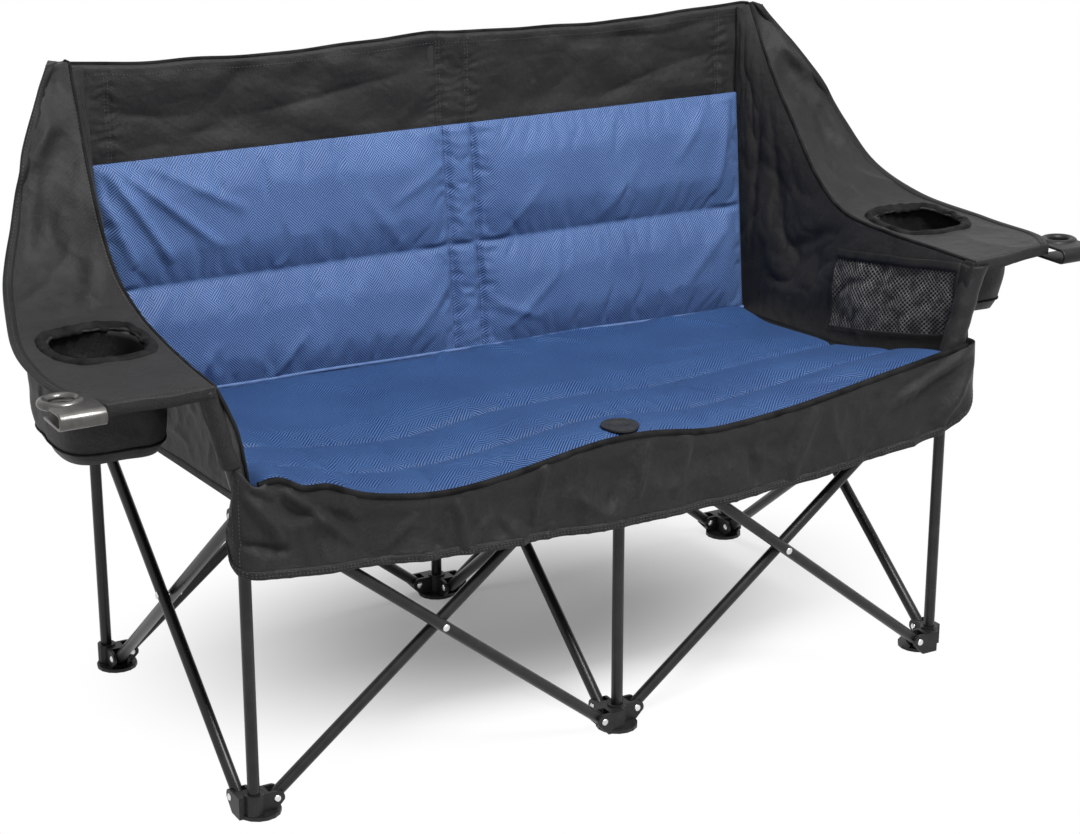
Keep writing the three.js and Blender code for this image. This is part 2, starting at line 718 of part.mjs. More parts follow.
function sleeveSide(rear, low, high, frontGap) {
  const front = (z) => padLine(z) + PAD_BACKING + frontGap;
  return polygon([[front(low), low], [rear, low], [rear, high], [front(high), high]]);
}

const sleeveOuter = slab(
  sleeveSide(bandRear + SLEEVE_WALL, sleeveFoot, sleeveTop, FIT),
  2 * sleeveHalf,
  new THREE.Vector3(-sleeveHalf, 0, 0),
  Y,
  Z,
);
const sleeveInnerHalf = sleeveHalf - SLEEVE_WALL;
const sleeveInner = slab(
  sleeveSide(bandRear, sleeveFoot - CLOTH, sleeveTop + CLOTH, -CLOTH),
  2 * sleeveInnerHalf,
  new THREE.Vector3(-sleeveInnerHalf, 0, 0),
  Y,
  Z,
);
add('back_sleeve', geometryOf(sleeveOuter.subtract(sleeveInner)), blackCloth);

// Front skirt: hangs from the front edge and turns back round the corner posts
const skirtMiddle = seatFront - CLOTH / 2 - FIT;
const skirtSide = postX + SKIRT_SIDE;
const skirtStraight = skirtSide - SKIRT_CORNER;
const cornerLength = SKIRT_CORNER * Math.PI / 2;

// Plan point and outward direction at a distance from the middle of the skirt
function skirtPlan(distance) {
  const side = Math.sign(distance);
  const along = Math.abs(distance);
  const centreY = skirtMiddle + SKIRT_CORNER;
  if (along <= skirtStraight) {
    return { x: distance, y: skirtMiddle, outX: 0, outY: -1 };
  }
  if (along <= skirtStraight + cornerLength) {
    const turn = (along - skirtStraight) / SKIRT_CORNER;
    const [outX, outY] = [side * Math.sin(turn), -Math.cos(turn)];
    const x = side * skirtStraight + SKIRT_CORNER * outX;
    return { x, y: centreY + SKIRT_CORNER * outY, outX, outY };
  }
  const back = along - skirtStraight - cornerLength;
  return { x: side * skirtSide, y: centreY + back, outX: side, outY: 0 };
}

function skirtPoint(distance, down) {
  const { x, y, outX, outY } = skirtPlan(distance);
  const within = THREE.MathUtils.clamp(x, -seatHalf, seatHalf);
  const top = seatTop(within, seatFront) + SKIRT_RISE;
  const foot = skirtMiddleFoot + SKIRT_CORNER_LIFT * Math.min(1, (x / postX) ** 2);
  const fold = SKIRT_FOLD * down * Math.sin(Math.PI * SKIRT_FOLDS * distance / (2 * skirtSide)) ** 2;
  return new THREE.Vector3(x + outX * fold, y + outY * fold, THREE.MathUtils.lerp(top, foot, down));
}

const skirtLength = skirtStraight + cornerLength;
const skirtColumns = [
  -skirtLength - SKIRT_RETURN,
  ...steps(-skirtLength, -skirtStraight, SKIRT_CORNER_COLUMNS).slice(0, -1),
  ...steps(-skirtStraight, skirtStraight, SKIRT_COLUMNS),
  ...steps(skirtStraight, skirtLength, SKIRT_CORNER_COLUMNS).slice(1),
  skirtLength + SKIRT_RETURN,
];
const clothRows = steps(0, 1, CLOTH_ROWS);
add('front_skirt', cloth(skirtColumns, clothRows, skirtPoint, CLOTH), blackCloth);

// Wing and arm: inner seam and outer hem, from the top corner of the back to the front of the arm.
// Each point is a share of the spread out from the post, of the way back and of the way up.
const seamPoints = [
  [0.038, 0.965, 1],
  [0.067, 0.861, 0.67],
  [0.096, 0.75, 0.393],
  [0.101, 0.639, 0.172],
  [0.087, 0.51, 0.05],
  [0.115, 0.315, 0.012],
  [0.149, 0.12, 0.004],
  [0.163, -0.03, 0],
];
const hemPoints = [
  [0.13, 0.955, 0.985],
  [0.423, 0.854, 0.67],
  [0.62, 0.794, 0.393],
  [0.755, 0.717, 0.186],
  [0.856, 0.546, 0.065],
  [0.986, 0.315, 0.014],
  [0.981, 0.1, -0.004],
  [0.817, -0.02, -0.01],
];
const wingTop = bandCeiling + CLOTH;

function wingCurve(points) {
  return new THREE.CatmullRomCurve3(points.map(([out, back, up]) => new THREE.Vector3(
    postX + WING_SPREAD * out,
    THREE.MathUtils.lerp(frontY, backY, back),
    THREE.MathUtils.lerp(ARM_HEIGHT, wingTop, up),
  )), false, 'centripetal');
}

const seam = wingCurve(seamPoints);
const hem = wingCurve(hemPoints);

function wingPoint(u, v) {
  const point = seam.getPoint(u).lerp(hem.getPoint(u), v);
  const along = Math.min(1, u / WING_HOLLOW_END);
  point.y += WING_HOLLOW * Math.sin(Math.PI * v) * Math.sin(Math.PI * along);
  return point;
}

// Side panel: from the seam down to the seat and back to the pad
const panelX = postX - SEAT_SIDE_INSET + FIT + PANEL_CLOTH / 2;

function panelRim(u) {
  if (u < PANEL_BACK_SHARE) {
    const z = THREE.MathUtils.lerp(wingTop, panelRearFoot, u / PANEL_BACK_SHARE);
    const face = z > padTop ? bandFront - CLOTH : padLine(z) - SEAM_FILL;
    return new THREE.Vector3(panelX, face - PANEL_BACK_GAP, z);
  }
  const forward = (u - PANEL_BACK_SHARE) / (1 - PANEL_BACK_SHARE);
  const y = THREE.MathUtils.lerp(padLine(padFoot) - SEAM_FILL - PANEL_BACK_GAP, frontY, forward);
  const z = THREE.MathUtils.lerp(panelRearFoot, panelFrontFoot, forward);
  return new THREE.Vector3(panelX, y, z);
}

function panelPoint(u, v) {
  const top = seam.getPoint(u);
  const rim = panelRim(u);
  const height = Math.max(top.distanceTo(rim), 2 * PANEL_TOP_GAP);
  const rise = (1 - v) * (1 - PANEL_TOP_GAP / height);
  const point = rim.clone().lerp(top, rise);
  point.x = THREE.MathUtils.lerp(rim.x, top.x, rise ** 2);
  return point;
}

const panelColumns = steps(PANEL_START, 1, PANEL_COLUMNS);

function mirrored(geometry, side) {
  if (side > 0) {
    return geometry;
  }
  const flipped = geometry.clone().scale(-1, 1, 1);
  const order = [...flipped.index.array];
  flipped.setIndex(order.reverse());
  flipped.computeVertexNormals();
  return flipped;
}

// Right-hand pieces, mirrored for the left
const panelSheet = solid(cloth(panelColumns, clothRows, panelPoint, PANEL_CLOTH));
const postSleeveFoot = bracketHigh + POST_SLEEVE_RISE;
const postSleeveTop = armPostTop + POST_SLEEVE_WALL;
const postSleeveRadius = tubeRadius + FIT + POST_SLEEVE_WALL;
const postSleeve = armPost(postSleeveFoot, postSleeveTop, postSleeveRadius);
const postRoom = armPost(0, armPostTop + FIT, tubeRadius + FIT);
const sidePanel = geometryOf(panelSheet.add(postSleeve).subtract(postRoom));

const wingSheet = solid(cloth(steps(0, 1, WING_COLUMNS), clothRows, wingPoint, WING_CLOTH));
const cupX = postX + CUP_OUT;
const cupY = frontY + CUP_BACK;
const cupHole = slab(
  roundedRectangle(CUP_HOLE, CUP_HOLE, CUP_HOLE_RADIUS),
  4 * POUCH_DEPTH,
  new THREE.Vector3(cupX, cupY, ARM_HEIGHT - 2 * POUCH_DEPTH),
  X,
  Y,
  CUP_CORNER_STEPS,
);
const armWing = geometryOf(wingSheet.subtract(cupHole));

// Cup pouch: a soft bag under the arm, narrower at its foot
function pouchRing(turn, level, inset) {
  const narrow = POUCH_SHRINK * (1 - level);
  const halfX = POUCH_WIDTH / 2 - inset - narrow;
  const halfY = POUCH_LENGTH / 2 - inset - narrow;
  const [c, s] = [Math.cos(turn), Math.sin(turn)];
  const bulge = (Math.abs(c) ** POUCH_ROUND + Math.abs(s) ** POUCH_ROUND) ** (-1 / POUCH_ROUND);
  return [halfX * c * bulge, halfY * s * bulge];
}

const pouchX = postX + POUCH_OUT;
const pouchY = frontY + POUCH_BACK;
const pouchTop = ARM_HEIGHT + POUCH_DEPTH / 2;

function pouchSolid(inset, floor, top) {
  const loop = (height, level) => steps(0, 2 * Math.PI, POUCH_SIDES).slice(0, -1).map((turn) => {
    const [x, y] = pouchRing(turn, level, inset);
    return new THREE.Vector3(pouchX + x, pouchY + y, height);
  });
  const loops = POUCH_LEVELS.map((level) => loop(THREE.MathUtils.lerp(floor, top, level), level));
  return solid(stacked(loops));
}

// The pouch is sewn to the arm, so its rim follows the arm's underside
const aboveArm = solid(padded(
  steps(ARM_START, 1, ARM_COLUMNS),
  clothRows,
  (u, v) => wingPoint(u, v).addScaledVector(Z, -WING_CLOTH / 2 - FIT),
  (u, v) => wingPoint(u, v).addScaledVector(Z, 2 * POUCH_DEPTH),
));
const pouchFloor = ARM_HEIGHT - POUCH_DEPTH;
const pouchRoom = pouchSolid(CLOTH, pouchFloor + CLOTH, pouchTop + POUCH_DEPTH);
const pouchBag = pouchSolid(0, pouchFloor, pouchTop).subtract(pouchRoom);
const cupPouch = geometryOf(pouchBag.subtract(aboveArm));

// How far out the faceted side panel stands at a height
function panelReach(u, z) {
  const points = clothRows.map((v) => panelPoint(u, v));
  const below = points.findIndex((point) => point.z <= z);
  const [high, low] = [points[below - 1], points[below]];
  return THREE.MathUtils.lerp(low.x, high.x, (z - low.z) / (high.z - low.z));
}

// Net pocket: a flat net with a hem, standing just inside the side panel
const netY = frontY + NET_FRONT;
const rimRear = panelRim(PANEL_BACK_SHARE).y;
const netShare = (rimRear - netY - NET_LENGTH) / (rimRear - frontY);
const netStart = THREE.MathUtils.lerp(PANEL_BACK_SHARE, 1, netShare);
const netRim = Math.min(...steps(netStart, 1, PANEL_COLUMNS).map((u) => panelReach(u, netFoot)));
const netX = netRim - PANEL_CLOTH / 2 - FIT - NET_CLOTH;
const netOutline = polygon([[0, 0], [NET_LENGTH, 0], [NET_LENGTH, NET_HEIGHT], [0, NET_HEIGHT]]);
const cellLength = (NET_LENGTH - 2 * NET_CORD) / NET_COLUMNS;
const cellHeight = (NET_HEIGHT - NET_HEM - NET_CORD) / NET_ROWS;
for (let i = 0; i < NET_COLUMNS; i += 1) {
  for (let j = 0; j < NET_ROWS; j += 1) {
    const [cx, cy] = [NET_CORD + cellLength * (i + 0.5), NET_CORD + cellHeight * (j + 0.5)];
    const [dx, dy] = [(cellLength - NET_CORD) / 2, (cellHeight - NET_CORD) / 2];
    netOutline.holes.push(new THREE.Path([
      new THREE.Vector2(cx - dx, cy),
      new THREE.Vector2(cx, cy - dy),
      new THREE.Vector2(cx + dx, cy),
      new THREE.Vector2(cx, cy + dy),
    ]));
  }
}
const meshPocket = geometryOf(slab(netOutline, NET_CLOTH, new THREE.Vector3(netX, netY, netFoot), Y, Z));

// Glass clip: a folded strip that grips the arm's front corner, with a loop for a stem
const clipFront = frontY - CLIP_FRONT;
const seatAcross = steps(CLIP_SEAT_ACROSS, 1, CLOTH_ROWS);
const armCorner = steps(CLIP_SEAT_ALONG, 1, CLOTH_ROWS).flatMap(
  (u) => seatAcross.map((v) => wingPoint(u, v).z),
);
const clipMiddle = Math.max(...armCorner) + WING_CLOTH / 2 + FIT + CLIP_WALL - CLIP_HEIGHT / 2;
const bend = CLIP_HEIGHT / 2;
const clipSide = new THREE.Shape();
clipSide.moveTo(clipFront + CLIP_JAW, -bend);
clipSide.lineTo(clipFront + bend, -bend);
clipSide.absarc(clipFront + bend, 0, bend, -Math.PI / 2, -Math.PI * 1.5, true);
clipSide.lineTo(clipFront + CLIP_LENGTH, bend);
clipSide.lineTo(clipFront + CLIP_LENGTH, bend - CLIP_WALL);
clipSide.lineTo(clipFront + bend, bend - CLIP_WALL);
clipSide.absarc(clipFront + bend, 0, bend - CLIP_WALL, Math.PI / 2, Math.PI * 1.5);
clipSide.lineTo(clipFront + CLIP_JAW, CLIP_WALL - bend);
clipSide.closePath();
const clipX = postX + CLIP_OUT - CLIP_WIDTH / 2;
const clipStart = new THREE.Vector3(clipX, 0, clipMiddle);
const clipStrip = slab(clipSide, CLIP_WIDTH, clipStart, Y, Z, CLIP_BEND_STEPS);
const clipPlan = slab(
  roundedRectangle(CLIP_WIDTH, 2 * CLIP_LENGTH, CLIP_WIDTH / 3),
  2 * CLIP_HEIGHT,
  new THREE.Vector3(clipX + CLIP_WIDTH / 2, clipFront, clipMiddle - CLIP_HEIGHT),
  X,
  Y,
);
const loopX = clipX + CLIP_WIDTH / 2 + CLIP_LOOP_OUT;
const loopHole = slab(
  roundedRectangle(CLIP_LOOP_WIDTH, CLIP_LOOP_LENGTH, CLIP_LOOP_LENGTH / 2 - FIT),
  2 * CLIP_HEIGHT,
  new THREE.Vector3(loopX, clipFront + CLIP_LOOP_BACK, clipMiddle - CLIP_HEIGHT),
  X,
  Y,
);
const glassClip = geometryOf(clipStrip.intersect(clipPlan).subtract(loopHole));

for (const [hand, side] of [['left', -1], ['right', 1]]) {
  add(`${hand}_side_panel`, mirrored(sidePanel, side), blackCloth);
  add(`${hand}_arm_wing`, mirrored(armWing, side), blackCloth);
  add(`${hand}_cup_pouch`, mirrored(cupPouch, side), blackCloth);
  add(`${hand}_mesh_pocket`, mirrored(meshPocket, side), netCloth);
  add(`${hand}_glass_clip`, mirrored(glassClip, side), clipFinish[hand]);
}

// The origin is on the ground, under the middle of the whole chair
const extent = new THREE.Box3().setFromObject(loveseat);
const middle = extent.getCenter(new THREE.Vector3());
loveseat.position.set(-middle.x, -middle.y, -extent.min.z);

export default loveseat;
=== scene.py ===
import json
import math

import bpy
import numpy as np
from mathutils import Vector
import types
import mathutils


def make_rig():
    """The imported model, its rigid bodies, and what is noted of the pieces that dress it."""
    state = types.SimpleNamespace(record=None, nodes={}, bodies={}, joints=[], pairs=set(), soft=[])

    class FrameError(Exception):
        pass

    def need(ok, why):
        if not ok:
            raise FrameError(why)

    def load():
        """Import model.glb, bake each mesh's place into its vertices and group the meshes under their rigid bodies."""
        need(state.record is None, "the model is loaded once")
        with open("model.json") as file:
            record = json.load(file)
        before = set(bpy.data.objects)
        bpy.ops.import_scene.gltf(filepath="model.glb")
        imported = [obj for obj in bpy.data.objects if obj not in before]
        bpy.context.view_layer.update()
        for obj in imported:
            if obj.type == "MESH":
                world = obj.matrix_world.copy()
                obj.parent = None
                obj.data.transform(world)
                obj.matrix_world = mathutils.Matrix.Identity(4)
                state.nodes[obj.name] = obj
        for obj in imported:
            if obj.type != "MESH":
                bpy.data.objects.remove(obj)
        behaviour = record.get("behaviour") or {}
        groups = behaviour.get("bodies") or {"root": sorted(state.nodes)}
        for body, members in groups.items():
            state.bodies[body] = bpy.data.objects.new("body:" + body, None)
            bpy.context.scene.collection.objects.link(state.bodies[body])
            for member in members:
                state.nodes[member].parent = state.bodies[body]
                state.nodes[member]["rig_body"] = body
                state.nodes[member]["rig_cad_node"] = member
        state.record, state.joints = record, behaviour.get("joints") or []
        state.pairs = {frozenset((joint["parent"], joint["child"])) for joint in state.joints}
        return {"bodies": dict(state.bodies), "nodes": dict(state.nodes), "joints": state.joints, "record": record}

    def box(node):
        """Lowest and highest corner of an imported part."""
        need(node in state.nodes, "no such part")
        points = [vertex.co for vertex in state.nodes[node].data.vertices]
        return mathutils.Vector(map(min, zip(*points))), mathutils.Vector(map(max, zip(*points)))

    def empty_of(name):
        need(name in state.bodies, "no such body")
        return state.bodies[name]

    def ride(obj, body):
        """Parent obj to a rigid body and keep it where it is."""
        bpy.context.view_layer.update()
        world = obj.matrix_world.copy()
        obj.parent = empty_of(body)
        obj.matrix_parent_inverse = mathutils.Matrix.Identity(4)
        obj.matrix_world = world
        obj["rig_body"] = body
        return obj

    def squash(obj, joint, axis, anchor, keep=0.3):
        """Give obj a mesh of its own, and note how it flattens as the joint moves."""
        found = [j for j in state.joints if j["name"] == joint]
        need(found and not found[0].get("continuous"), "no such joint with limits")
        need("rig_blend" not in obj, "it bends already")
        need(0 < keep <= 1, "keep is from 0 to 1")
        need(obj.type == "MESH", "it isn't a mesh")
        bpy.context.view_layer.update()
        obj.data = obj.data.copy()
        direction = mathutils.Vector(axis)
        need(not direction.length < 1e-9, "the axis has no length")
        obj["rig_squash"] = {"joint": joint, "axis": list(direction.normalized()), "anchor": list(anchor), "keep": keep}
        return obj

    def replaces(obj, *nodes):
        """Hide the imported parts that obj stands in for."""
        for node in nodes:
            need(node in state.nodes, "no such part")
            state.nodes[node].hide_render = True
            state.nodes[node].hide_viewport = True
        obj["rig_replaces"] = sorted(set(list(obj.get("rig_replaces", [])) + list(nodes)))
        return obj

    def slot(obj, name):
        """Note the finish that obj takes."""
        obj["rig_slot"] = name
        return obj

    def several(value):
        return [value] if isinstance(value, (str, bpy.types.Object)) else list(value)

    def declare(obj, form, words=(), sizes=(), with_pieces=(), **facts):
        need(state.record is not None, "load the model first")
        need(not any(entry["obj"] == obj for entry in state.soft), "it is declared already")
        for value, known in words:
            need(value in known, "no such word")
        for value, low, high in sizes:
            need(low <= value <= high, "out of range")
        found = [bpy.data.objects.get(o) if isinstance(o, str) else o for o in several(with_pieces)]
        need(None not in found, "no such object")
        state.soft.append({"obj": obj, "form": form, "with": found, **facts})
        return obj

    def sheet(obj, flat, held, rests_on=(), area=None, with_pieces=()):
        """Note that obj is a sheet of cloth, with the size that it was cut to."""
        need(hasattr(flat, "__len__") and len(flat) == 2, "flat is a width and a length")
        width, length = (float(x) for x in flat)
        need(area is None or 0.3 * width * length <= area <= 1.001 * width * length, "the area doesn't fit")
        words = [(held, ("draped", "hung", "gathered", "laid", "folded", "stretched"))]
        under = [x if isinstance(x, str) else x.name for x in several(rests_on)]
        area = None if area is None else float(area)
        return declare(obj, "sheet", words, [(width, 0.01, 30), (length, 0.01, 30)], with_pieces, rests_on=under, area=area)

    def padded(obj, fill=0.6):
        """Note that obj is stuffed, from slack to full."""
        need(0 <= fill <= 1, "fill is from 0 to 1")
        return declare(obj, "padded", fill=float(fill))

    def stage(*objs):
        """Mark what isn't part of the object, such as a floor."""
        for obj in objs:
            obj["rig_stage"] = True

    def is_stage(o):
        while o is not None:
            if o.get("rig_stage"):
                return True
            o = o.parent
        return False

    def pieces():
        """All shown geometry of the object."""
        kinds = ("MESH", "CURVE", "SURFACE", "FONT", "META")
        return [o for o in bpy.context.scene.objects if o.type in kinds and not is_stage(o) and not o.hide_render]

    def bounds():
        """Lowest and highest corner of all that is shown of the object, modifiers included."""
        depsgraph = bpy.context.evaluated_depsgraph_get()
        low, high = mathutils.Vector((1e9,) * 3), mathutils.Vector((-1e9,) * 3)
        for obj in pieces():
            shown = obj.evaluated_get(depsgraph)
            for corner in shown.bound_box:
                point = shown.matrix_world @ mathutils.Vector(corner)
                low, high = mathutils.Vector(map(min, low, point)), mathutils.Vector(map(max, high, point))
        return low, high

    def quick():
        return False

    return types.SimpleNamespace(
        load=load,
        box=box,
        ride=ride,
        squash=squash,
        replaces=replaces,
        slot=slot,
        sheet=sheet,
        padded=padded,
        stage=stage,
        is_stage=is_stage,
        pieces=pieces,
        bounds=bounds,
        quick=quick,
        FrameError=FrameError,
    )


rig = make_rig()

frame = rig.load()
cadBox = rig.bounds()
scene = bpy.context.scene
nodes = frame["nodes"]
print("frame loaded,", len(nodes), "CAD nodes")

# shapes are worked out in millimetres about the six posts, and moved to the row frame in metres
mm = 0.001
rowShift = np.array((0.0, 6.5, 0.0))
chair = {"spacing": 540.0, "tube": 8.0, "frontY": -270.0, "backY": 270.0, "armTop": 586.0}


def inMetres(points):
    return (np.asarray(points, float) + rowShift) * mm


def place(x, y, z):
    return Vector(inMetres((x, y, z)))


def smooth(low, high, value):
    share = np.clip((np.asarray(value, float) - low) / (high - low), 0, 1)
    return share * share * (3 - 2 * share)


def mix(a, b, share):
    return a + (b - a) * share


# natural cubic through a few measured points
def curveThrough(pairs):
    xs, ys = (np.array(side, float) for side in zip(*pairs))
    count = len(xs)
    step = np.diff(xs)
    matrix = np.eye(count)
    wanted = np.zeros(count)
    for i in range(1, count - 1):
        matrix[i, i - 1:i + 2] = step[i - 1], 2 * (step[i - 1] + step[i]), step[i]
        wanted[i] = 6 * ((ys[i + 1] - ys[i]) / step[i] - (ys[i] - ys[i - 1]) / step[i - 1])
    bend = np.linalg.solve(matrix, wanted)

    def at(value):
        value = np.asarray(value, float)
        i = np.clip(np.searchsorted(xs, value) - 1, 0, count - 2)
        left, right, width = value - xs[i], xs[i + 1] - value, step[i]
        curved = (bend[i] * right ** 3 + bend[i + 1] * left ** 3) / (6 * width)
        return (curved + (ys[i] / width - bend[i] * width / 6) * right
                + (ys[i + 1] / width - bend[i + 1] * width / 6) * left)

    return at


# slack in cloth: a few slanted waves with fixed phases
def slack(a, b, pitch, seed, waves=7):
    dice = np.random.default_rng(seed)
    total = 0
    for turn, stretch, phase in dice.uniform(0, 1, (waves, 3)):
        turn, stretch, phase = turn * 2 * math.pi, pitch * (0.6 + stretch), phase * 2 * math.pi
        total = total + np.sin((a * math.cos(turn) + b * math.sin(turn)) * 2 * math.pi / stretch + phase)
    return total / math.sqrt(waves)


# one soft ridge in the cloth, fading at both ends
def crease(a, b, start, end, width, height):
    run = np.array(end, float) - np.array(start, float)
    length = np.hypot(*run)
    along = ((a - start[0]) * run[0] + (b - start[1]) * run[1]) / length ** 2
    aside = ((a - start[0]) * run[1] - (b - start[1]) * run[0]) / length
    fade = np.sqrt(np.clip(4 * along * (1 - along), 0, 1))
    return height * fade * np.exp(-(aside / width) ** 2)


# fine dry wrinkles: a loose net of ridges
def crumple(a, b, pitch, seed):
    return (1 - np.minimum(1, np.abs(slack(a, b, pitch, seed)))) ** 2 - 0.4


# layers of slack and wrinkles: kind, height, stretch along a, pitch and seed
def rumpled(a, b, layers):
    return sum(height * kind(a * stretch, b, pitch, seed) for kind, height, stretch, pitch, seed in layers)


def creased(a, b, folds):
    return sum(crease(a, b, *fold) for fold in folds)


# camera, floor and light
view = {"place": (-1.5925, -2.8508, 1.4741), "tilt": 71.33, "turn": -29.62, "lens": 80.917, "sensor": 36.0}
studio = {
    "floor": 40.0, "drop": 0.0005, "pale": (0.93, 0.93, 0.93, 1), "ambient": 0.2,
    "shadowAt": (0.06, 0.15), "shadowReach": (0.7, 0.46), "shadowCore": 0.2, "shadowLift": 0.21,
    "lamps": [
        {"name": "keyLamp", "place": (0.2, -1.9, 3.5), "aim": (0.0, 0.0, 0.45), "size": 1.2, "power": 196.0},
        {"name": "topLamp", "place": (0.2, 0.1, 3.8), "aim": (0.0, 0.1, 0.4), "size": 2.4, "power": 24.0},
        {"name": "sideLamp", "place": (-2.4, -2.9, 1.9), "aim": (0.0, 0.0, 0.5), "size": 1.6, "power": 4.0},
    ],
}
white = (1, 1, 1, 1)


def deselect():
    if bpy.context.mode != "OBJECT":
        bpy.ops.object.mode_set(mode="OBJECT")
    bpy.ops.object.select_all(action="DESELECT")


def only(piece):
    deselect()
    piece.select_set(True)
    bpy.context.view_layer.objects.active = piece


def settle(piece):
    only(piece)
    bpy.ops.object.transform_apply(location=True, rotation=True, scale=True)
    return piece


def applyAll(piece):
    only(piece)
    for modifier in list(piece.modifiers):
        bpy.ops.object.modifier_apply(modifier=modifier.name)
    return piece


def softEdges(piece, width, segments, angle):
    bevel = piece.modifiers.new("edges", "BEVEL")
    bevel.width = width
    bevel.segments = segments
    bevel.limit_method = "ANGLE"
    bevel.angle_limit = math.radians(angle)


def smoothBy(angle):
    bpy.ops.object.shade_smooth_by_angle(angle=math.radians(angle))


def faceOut(piece):
    only(piece)
    bpy.ops.object.mode_set(mode="EDIT")
    bpy.ops.mesh.select_all(action="SELECT")
    bpy.ops.mesh.normals_make_consistent(inside=False)
    bpy.ops.object.mode_set(mode="OBJECT")
    return piece


deselect()
bpy.ops.object.camera_add(
    location=view["place"], rotation=(math.radians(view["tilt"]), 0, math.radians(view["turn"])))
camera = bpy.context.object
camera.name = "photoCamera"
camera.data.lens = view["lens"]
camera.data.sensor_width = view["sensor"]
scene.camera = camera
scene.view_settings.view_transform = "Standard"

for lamp in studio["lamps"]:
    towards = Vector(lamp["aim"]) - Vector(lamp["place"])
    bpy.ops.object.light_add(
        type="AREA", location=lamp["place"], rotation=towards.to_track_quat("-Z", "Y").to_euler())
    light = bpy.context.object
    light.name = lamp["name"]
    light.data.energy = lamp["power"]
    light.data.size = lamp["size"]


# inputs of a node take a plain value or another node's output
def feed(tree, node, feeds):
    for socket, value in feeds.items():
        if isinstance(value, bpy.types.NodeSocket):
            tree.links.new(value, node.inputs[socket])
        else:
            node.inputs[socket].default_value = value


def addNode(tree, kind, feeds=None, **settings):
    made = tree.nodes.new(kind)
    for name, value in settings.items():
        setattr(made, name, value)
    feed(tree, made, feeds or {})
    return made


def combine(tree, operation, a, b):
    return addNode(tree, "ShaderNodeMath", {0: a, 1: b}, operation=operation).outputs[0]


def times(tree, a, b):
    return combine(tree, "MULTIPLY", a, b)


def seenDirectly(tree):
    path = addNode(tree, "ShaderNodeLightPath")
    either = combine(tree, "MAXIMUM", path.outputs["Is Camera Ray"], path.outputs["Is Glossy Ray"])
    return combine(tree, "MAXIMUM", either, path.outputs["Is Transmission Ray"])


def pickShader(tree, share, first, second, end):
    picked = addNode(tree, "ShaderNodeMixShader", {0: share, 1: first.outputs[0], 2: second.outputs[0]})
    feed(tree, tree.nodes[end], {0: picked.outputs[0]})


def startFinish(name, roughness, sockets=None):
    mat = bpy.data.materials.new(name)
    mat.use_nodes = True
    tree = mat.node_tree
    shader = tree.nodes["Principled BSDF"]
    feed(tree, shader, {"Roughness": roughness, **(sockets or {})})
    return mat, tree, shader


world = bpy.data.worlds.new("studio")
world.use_nodes = True
scene.world = world
lit = world.node_tree.nodes["Background"]
feed(world.node_tree, lit, {"Color": white, "Strength": studio["ambient"]})
seen = addNode(world.node_tree, "ShaderNodeBackground", {"Color": white, "Strength": 1.0})
pickShader(world.node_tree, seenDirectly(world.node_tree), lit, seen, "World Output")


# pale floor: it keeps the shadow under the chair and goes to plain white away from it
def floorFinish():
    mat, tree, shader = startFinish("paleFloor", 0.9, {"Base Color": studio["pale"], "Specular IOR Level": 0.1})
    glow = addNode(tree, "ShaderNodeEmission", {"Color": white, "Strength": 1.0})
    (atX, atY), (reachX, reachY) = studio["shadowAt"], studio["shadowReach"]
    spread = addNode(tree, "ShaderNodeMapping", {
        "Vector": addNode(tree, "ShaderNodeTexCoord").outputs["Object"],
        "Location": (-atX / reachX, -atY / reachY, 0), "Scale": (1 / reachX, 1 / reachY, 1)})
    far = addNode(tree, "ShaderNodeVectorMath", {0: spread.outputs[0]}, operation="LENGTH")
    fade = addNode(tree, "ShaderNodeMapRange", {
        "Value": far.outputs["Value"], "From Min": studio["shadowCore"], "From Max": 1.0,
        "To Min": studio["shadowLift"]}, interpolation_type="SMOOTHSTEP")
    pickShader(tree, times(tree, fade.outputs["Result"], seenDirectly(tree)), shader, glow, "Material Output")
    return mat


deselect()
bpy.ops.mesh.primitive_plane_add(size=studio["floor"], location=(0, 0, -studio["drop"]))
floor = settle(bpy.context.object)
floor.name = "floor"
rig.stage(floor)
floor.data.materials.append(floorFinish())
print("camera, floor and light set")


# finishes: a base colour that varies, a bump at the right scale, and plain values on the shader
def clothCoords(tree, turn, pitch):
    flat = addNode(tree, "ShaderNodeUVMap", uv_map="cut")
    return addNode(tree, "ShaderNodeMapping", {
        "Vector": flat.outputs["UV"], "Rotation": (0, 0, math.radians(turn)), "Scale": (1 / pitch,) * 3}).outputs[0]


# at this scale the wave node makes one band in a length of 1
def bands(tree, coords, direction):
    return addNode(tree, "ShaderNodeTexWave", {"Scale": math.tau / 20, "Vector": coords}, wave_type="BANDS",
                   bands_direction=direction, wave_profile="SIN").outputs["Fac"]


def crossed(tree, coords):
    return times(tree, bands(tree, coords, "X"), bands(tree, coords, "Y"))


def cloudy(tree, scale, detail=3.0):
    where = addNode(tree, "ShaderNodeTexCoord").outputs["Object"]
    return addNode(tree, "ShaderNodeTexNoise", {"Vector": where, "Scale": scale, "Detail": detail}).outputs["Fac"]


def tinted(tree, factor, dark, light, low, high):
    ramp = addNode(tree, "ShaderNodeValToRGB", {"Fac": factor})
    for stop, at, colour in zip(ramp.color_ramp.elements, (low, high), (dark, light)):
        stop.position = at
        stop.color = (*colour, 1)
    return ramp.outputs["Color"]


# the weave's colour, darker where the weave sinks (painted shade), times its wear
def coloured(tree, shader, woven, worn):
    feeds = {"Factor": 1.0, "A": woven, "B": worn}
    mixed = addNode(tree, "ShaderNodeMix", feeds, data_type="RGBA", blend_type="MULTIPLY")
    feed(tree, shader, {"Base Color": mixed.outputs["Result"]})


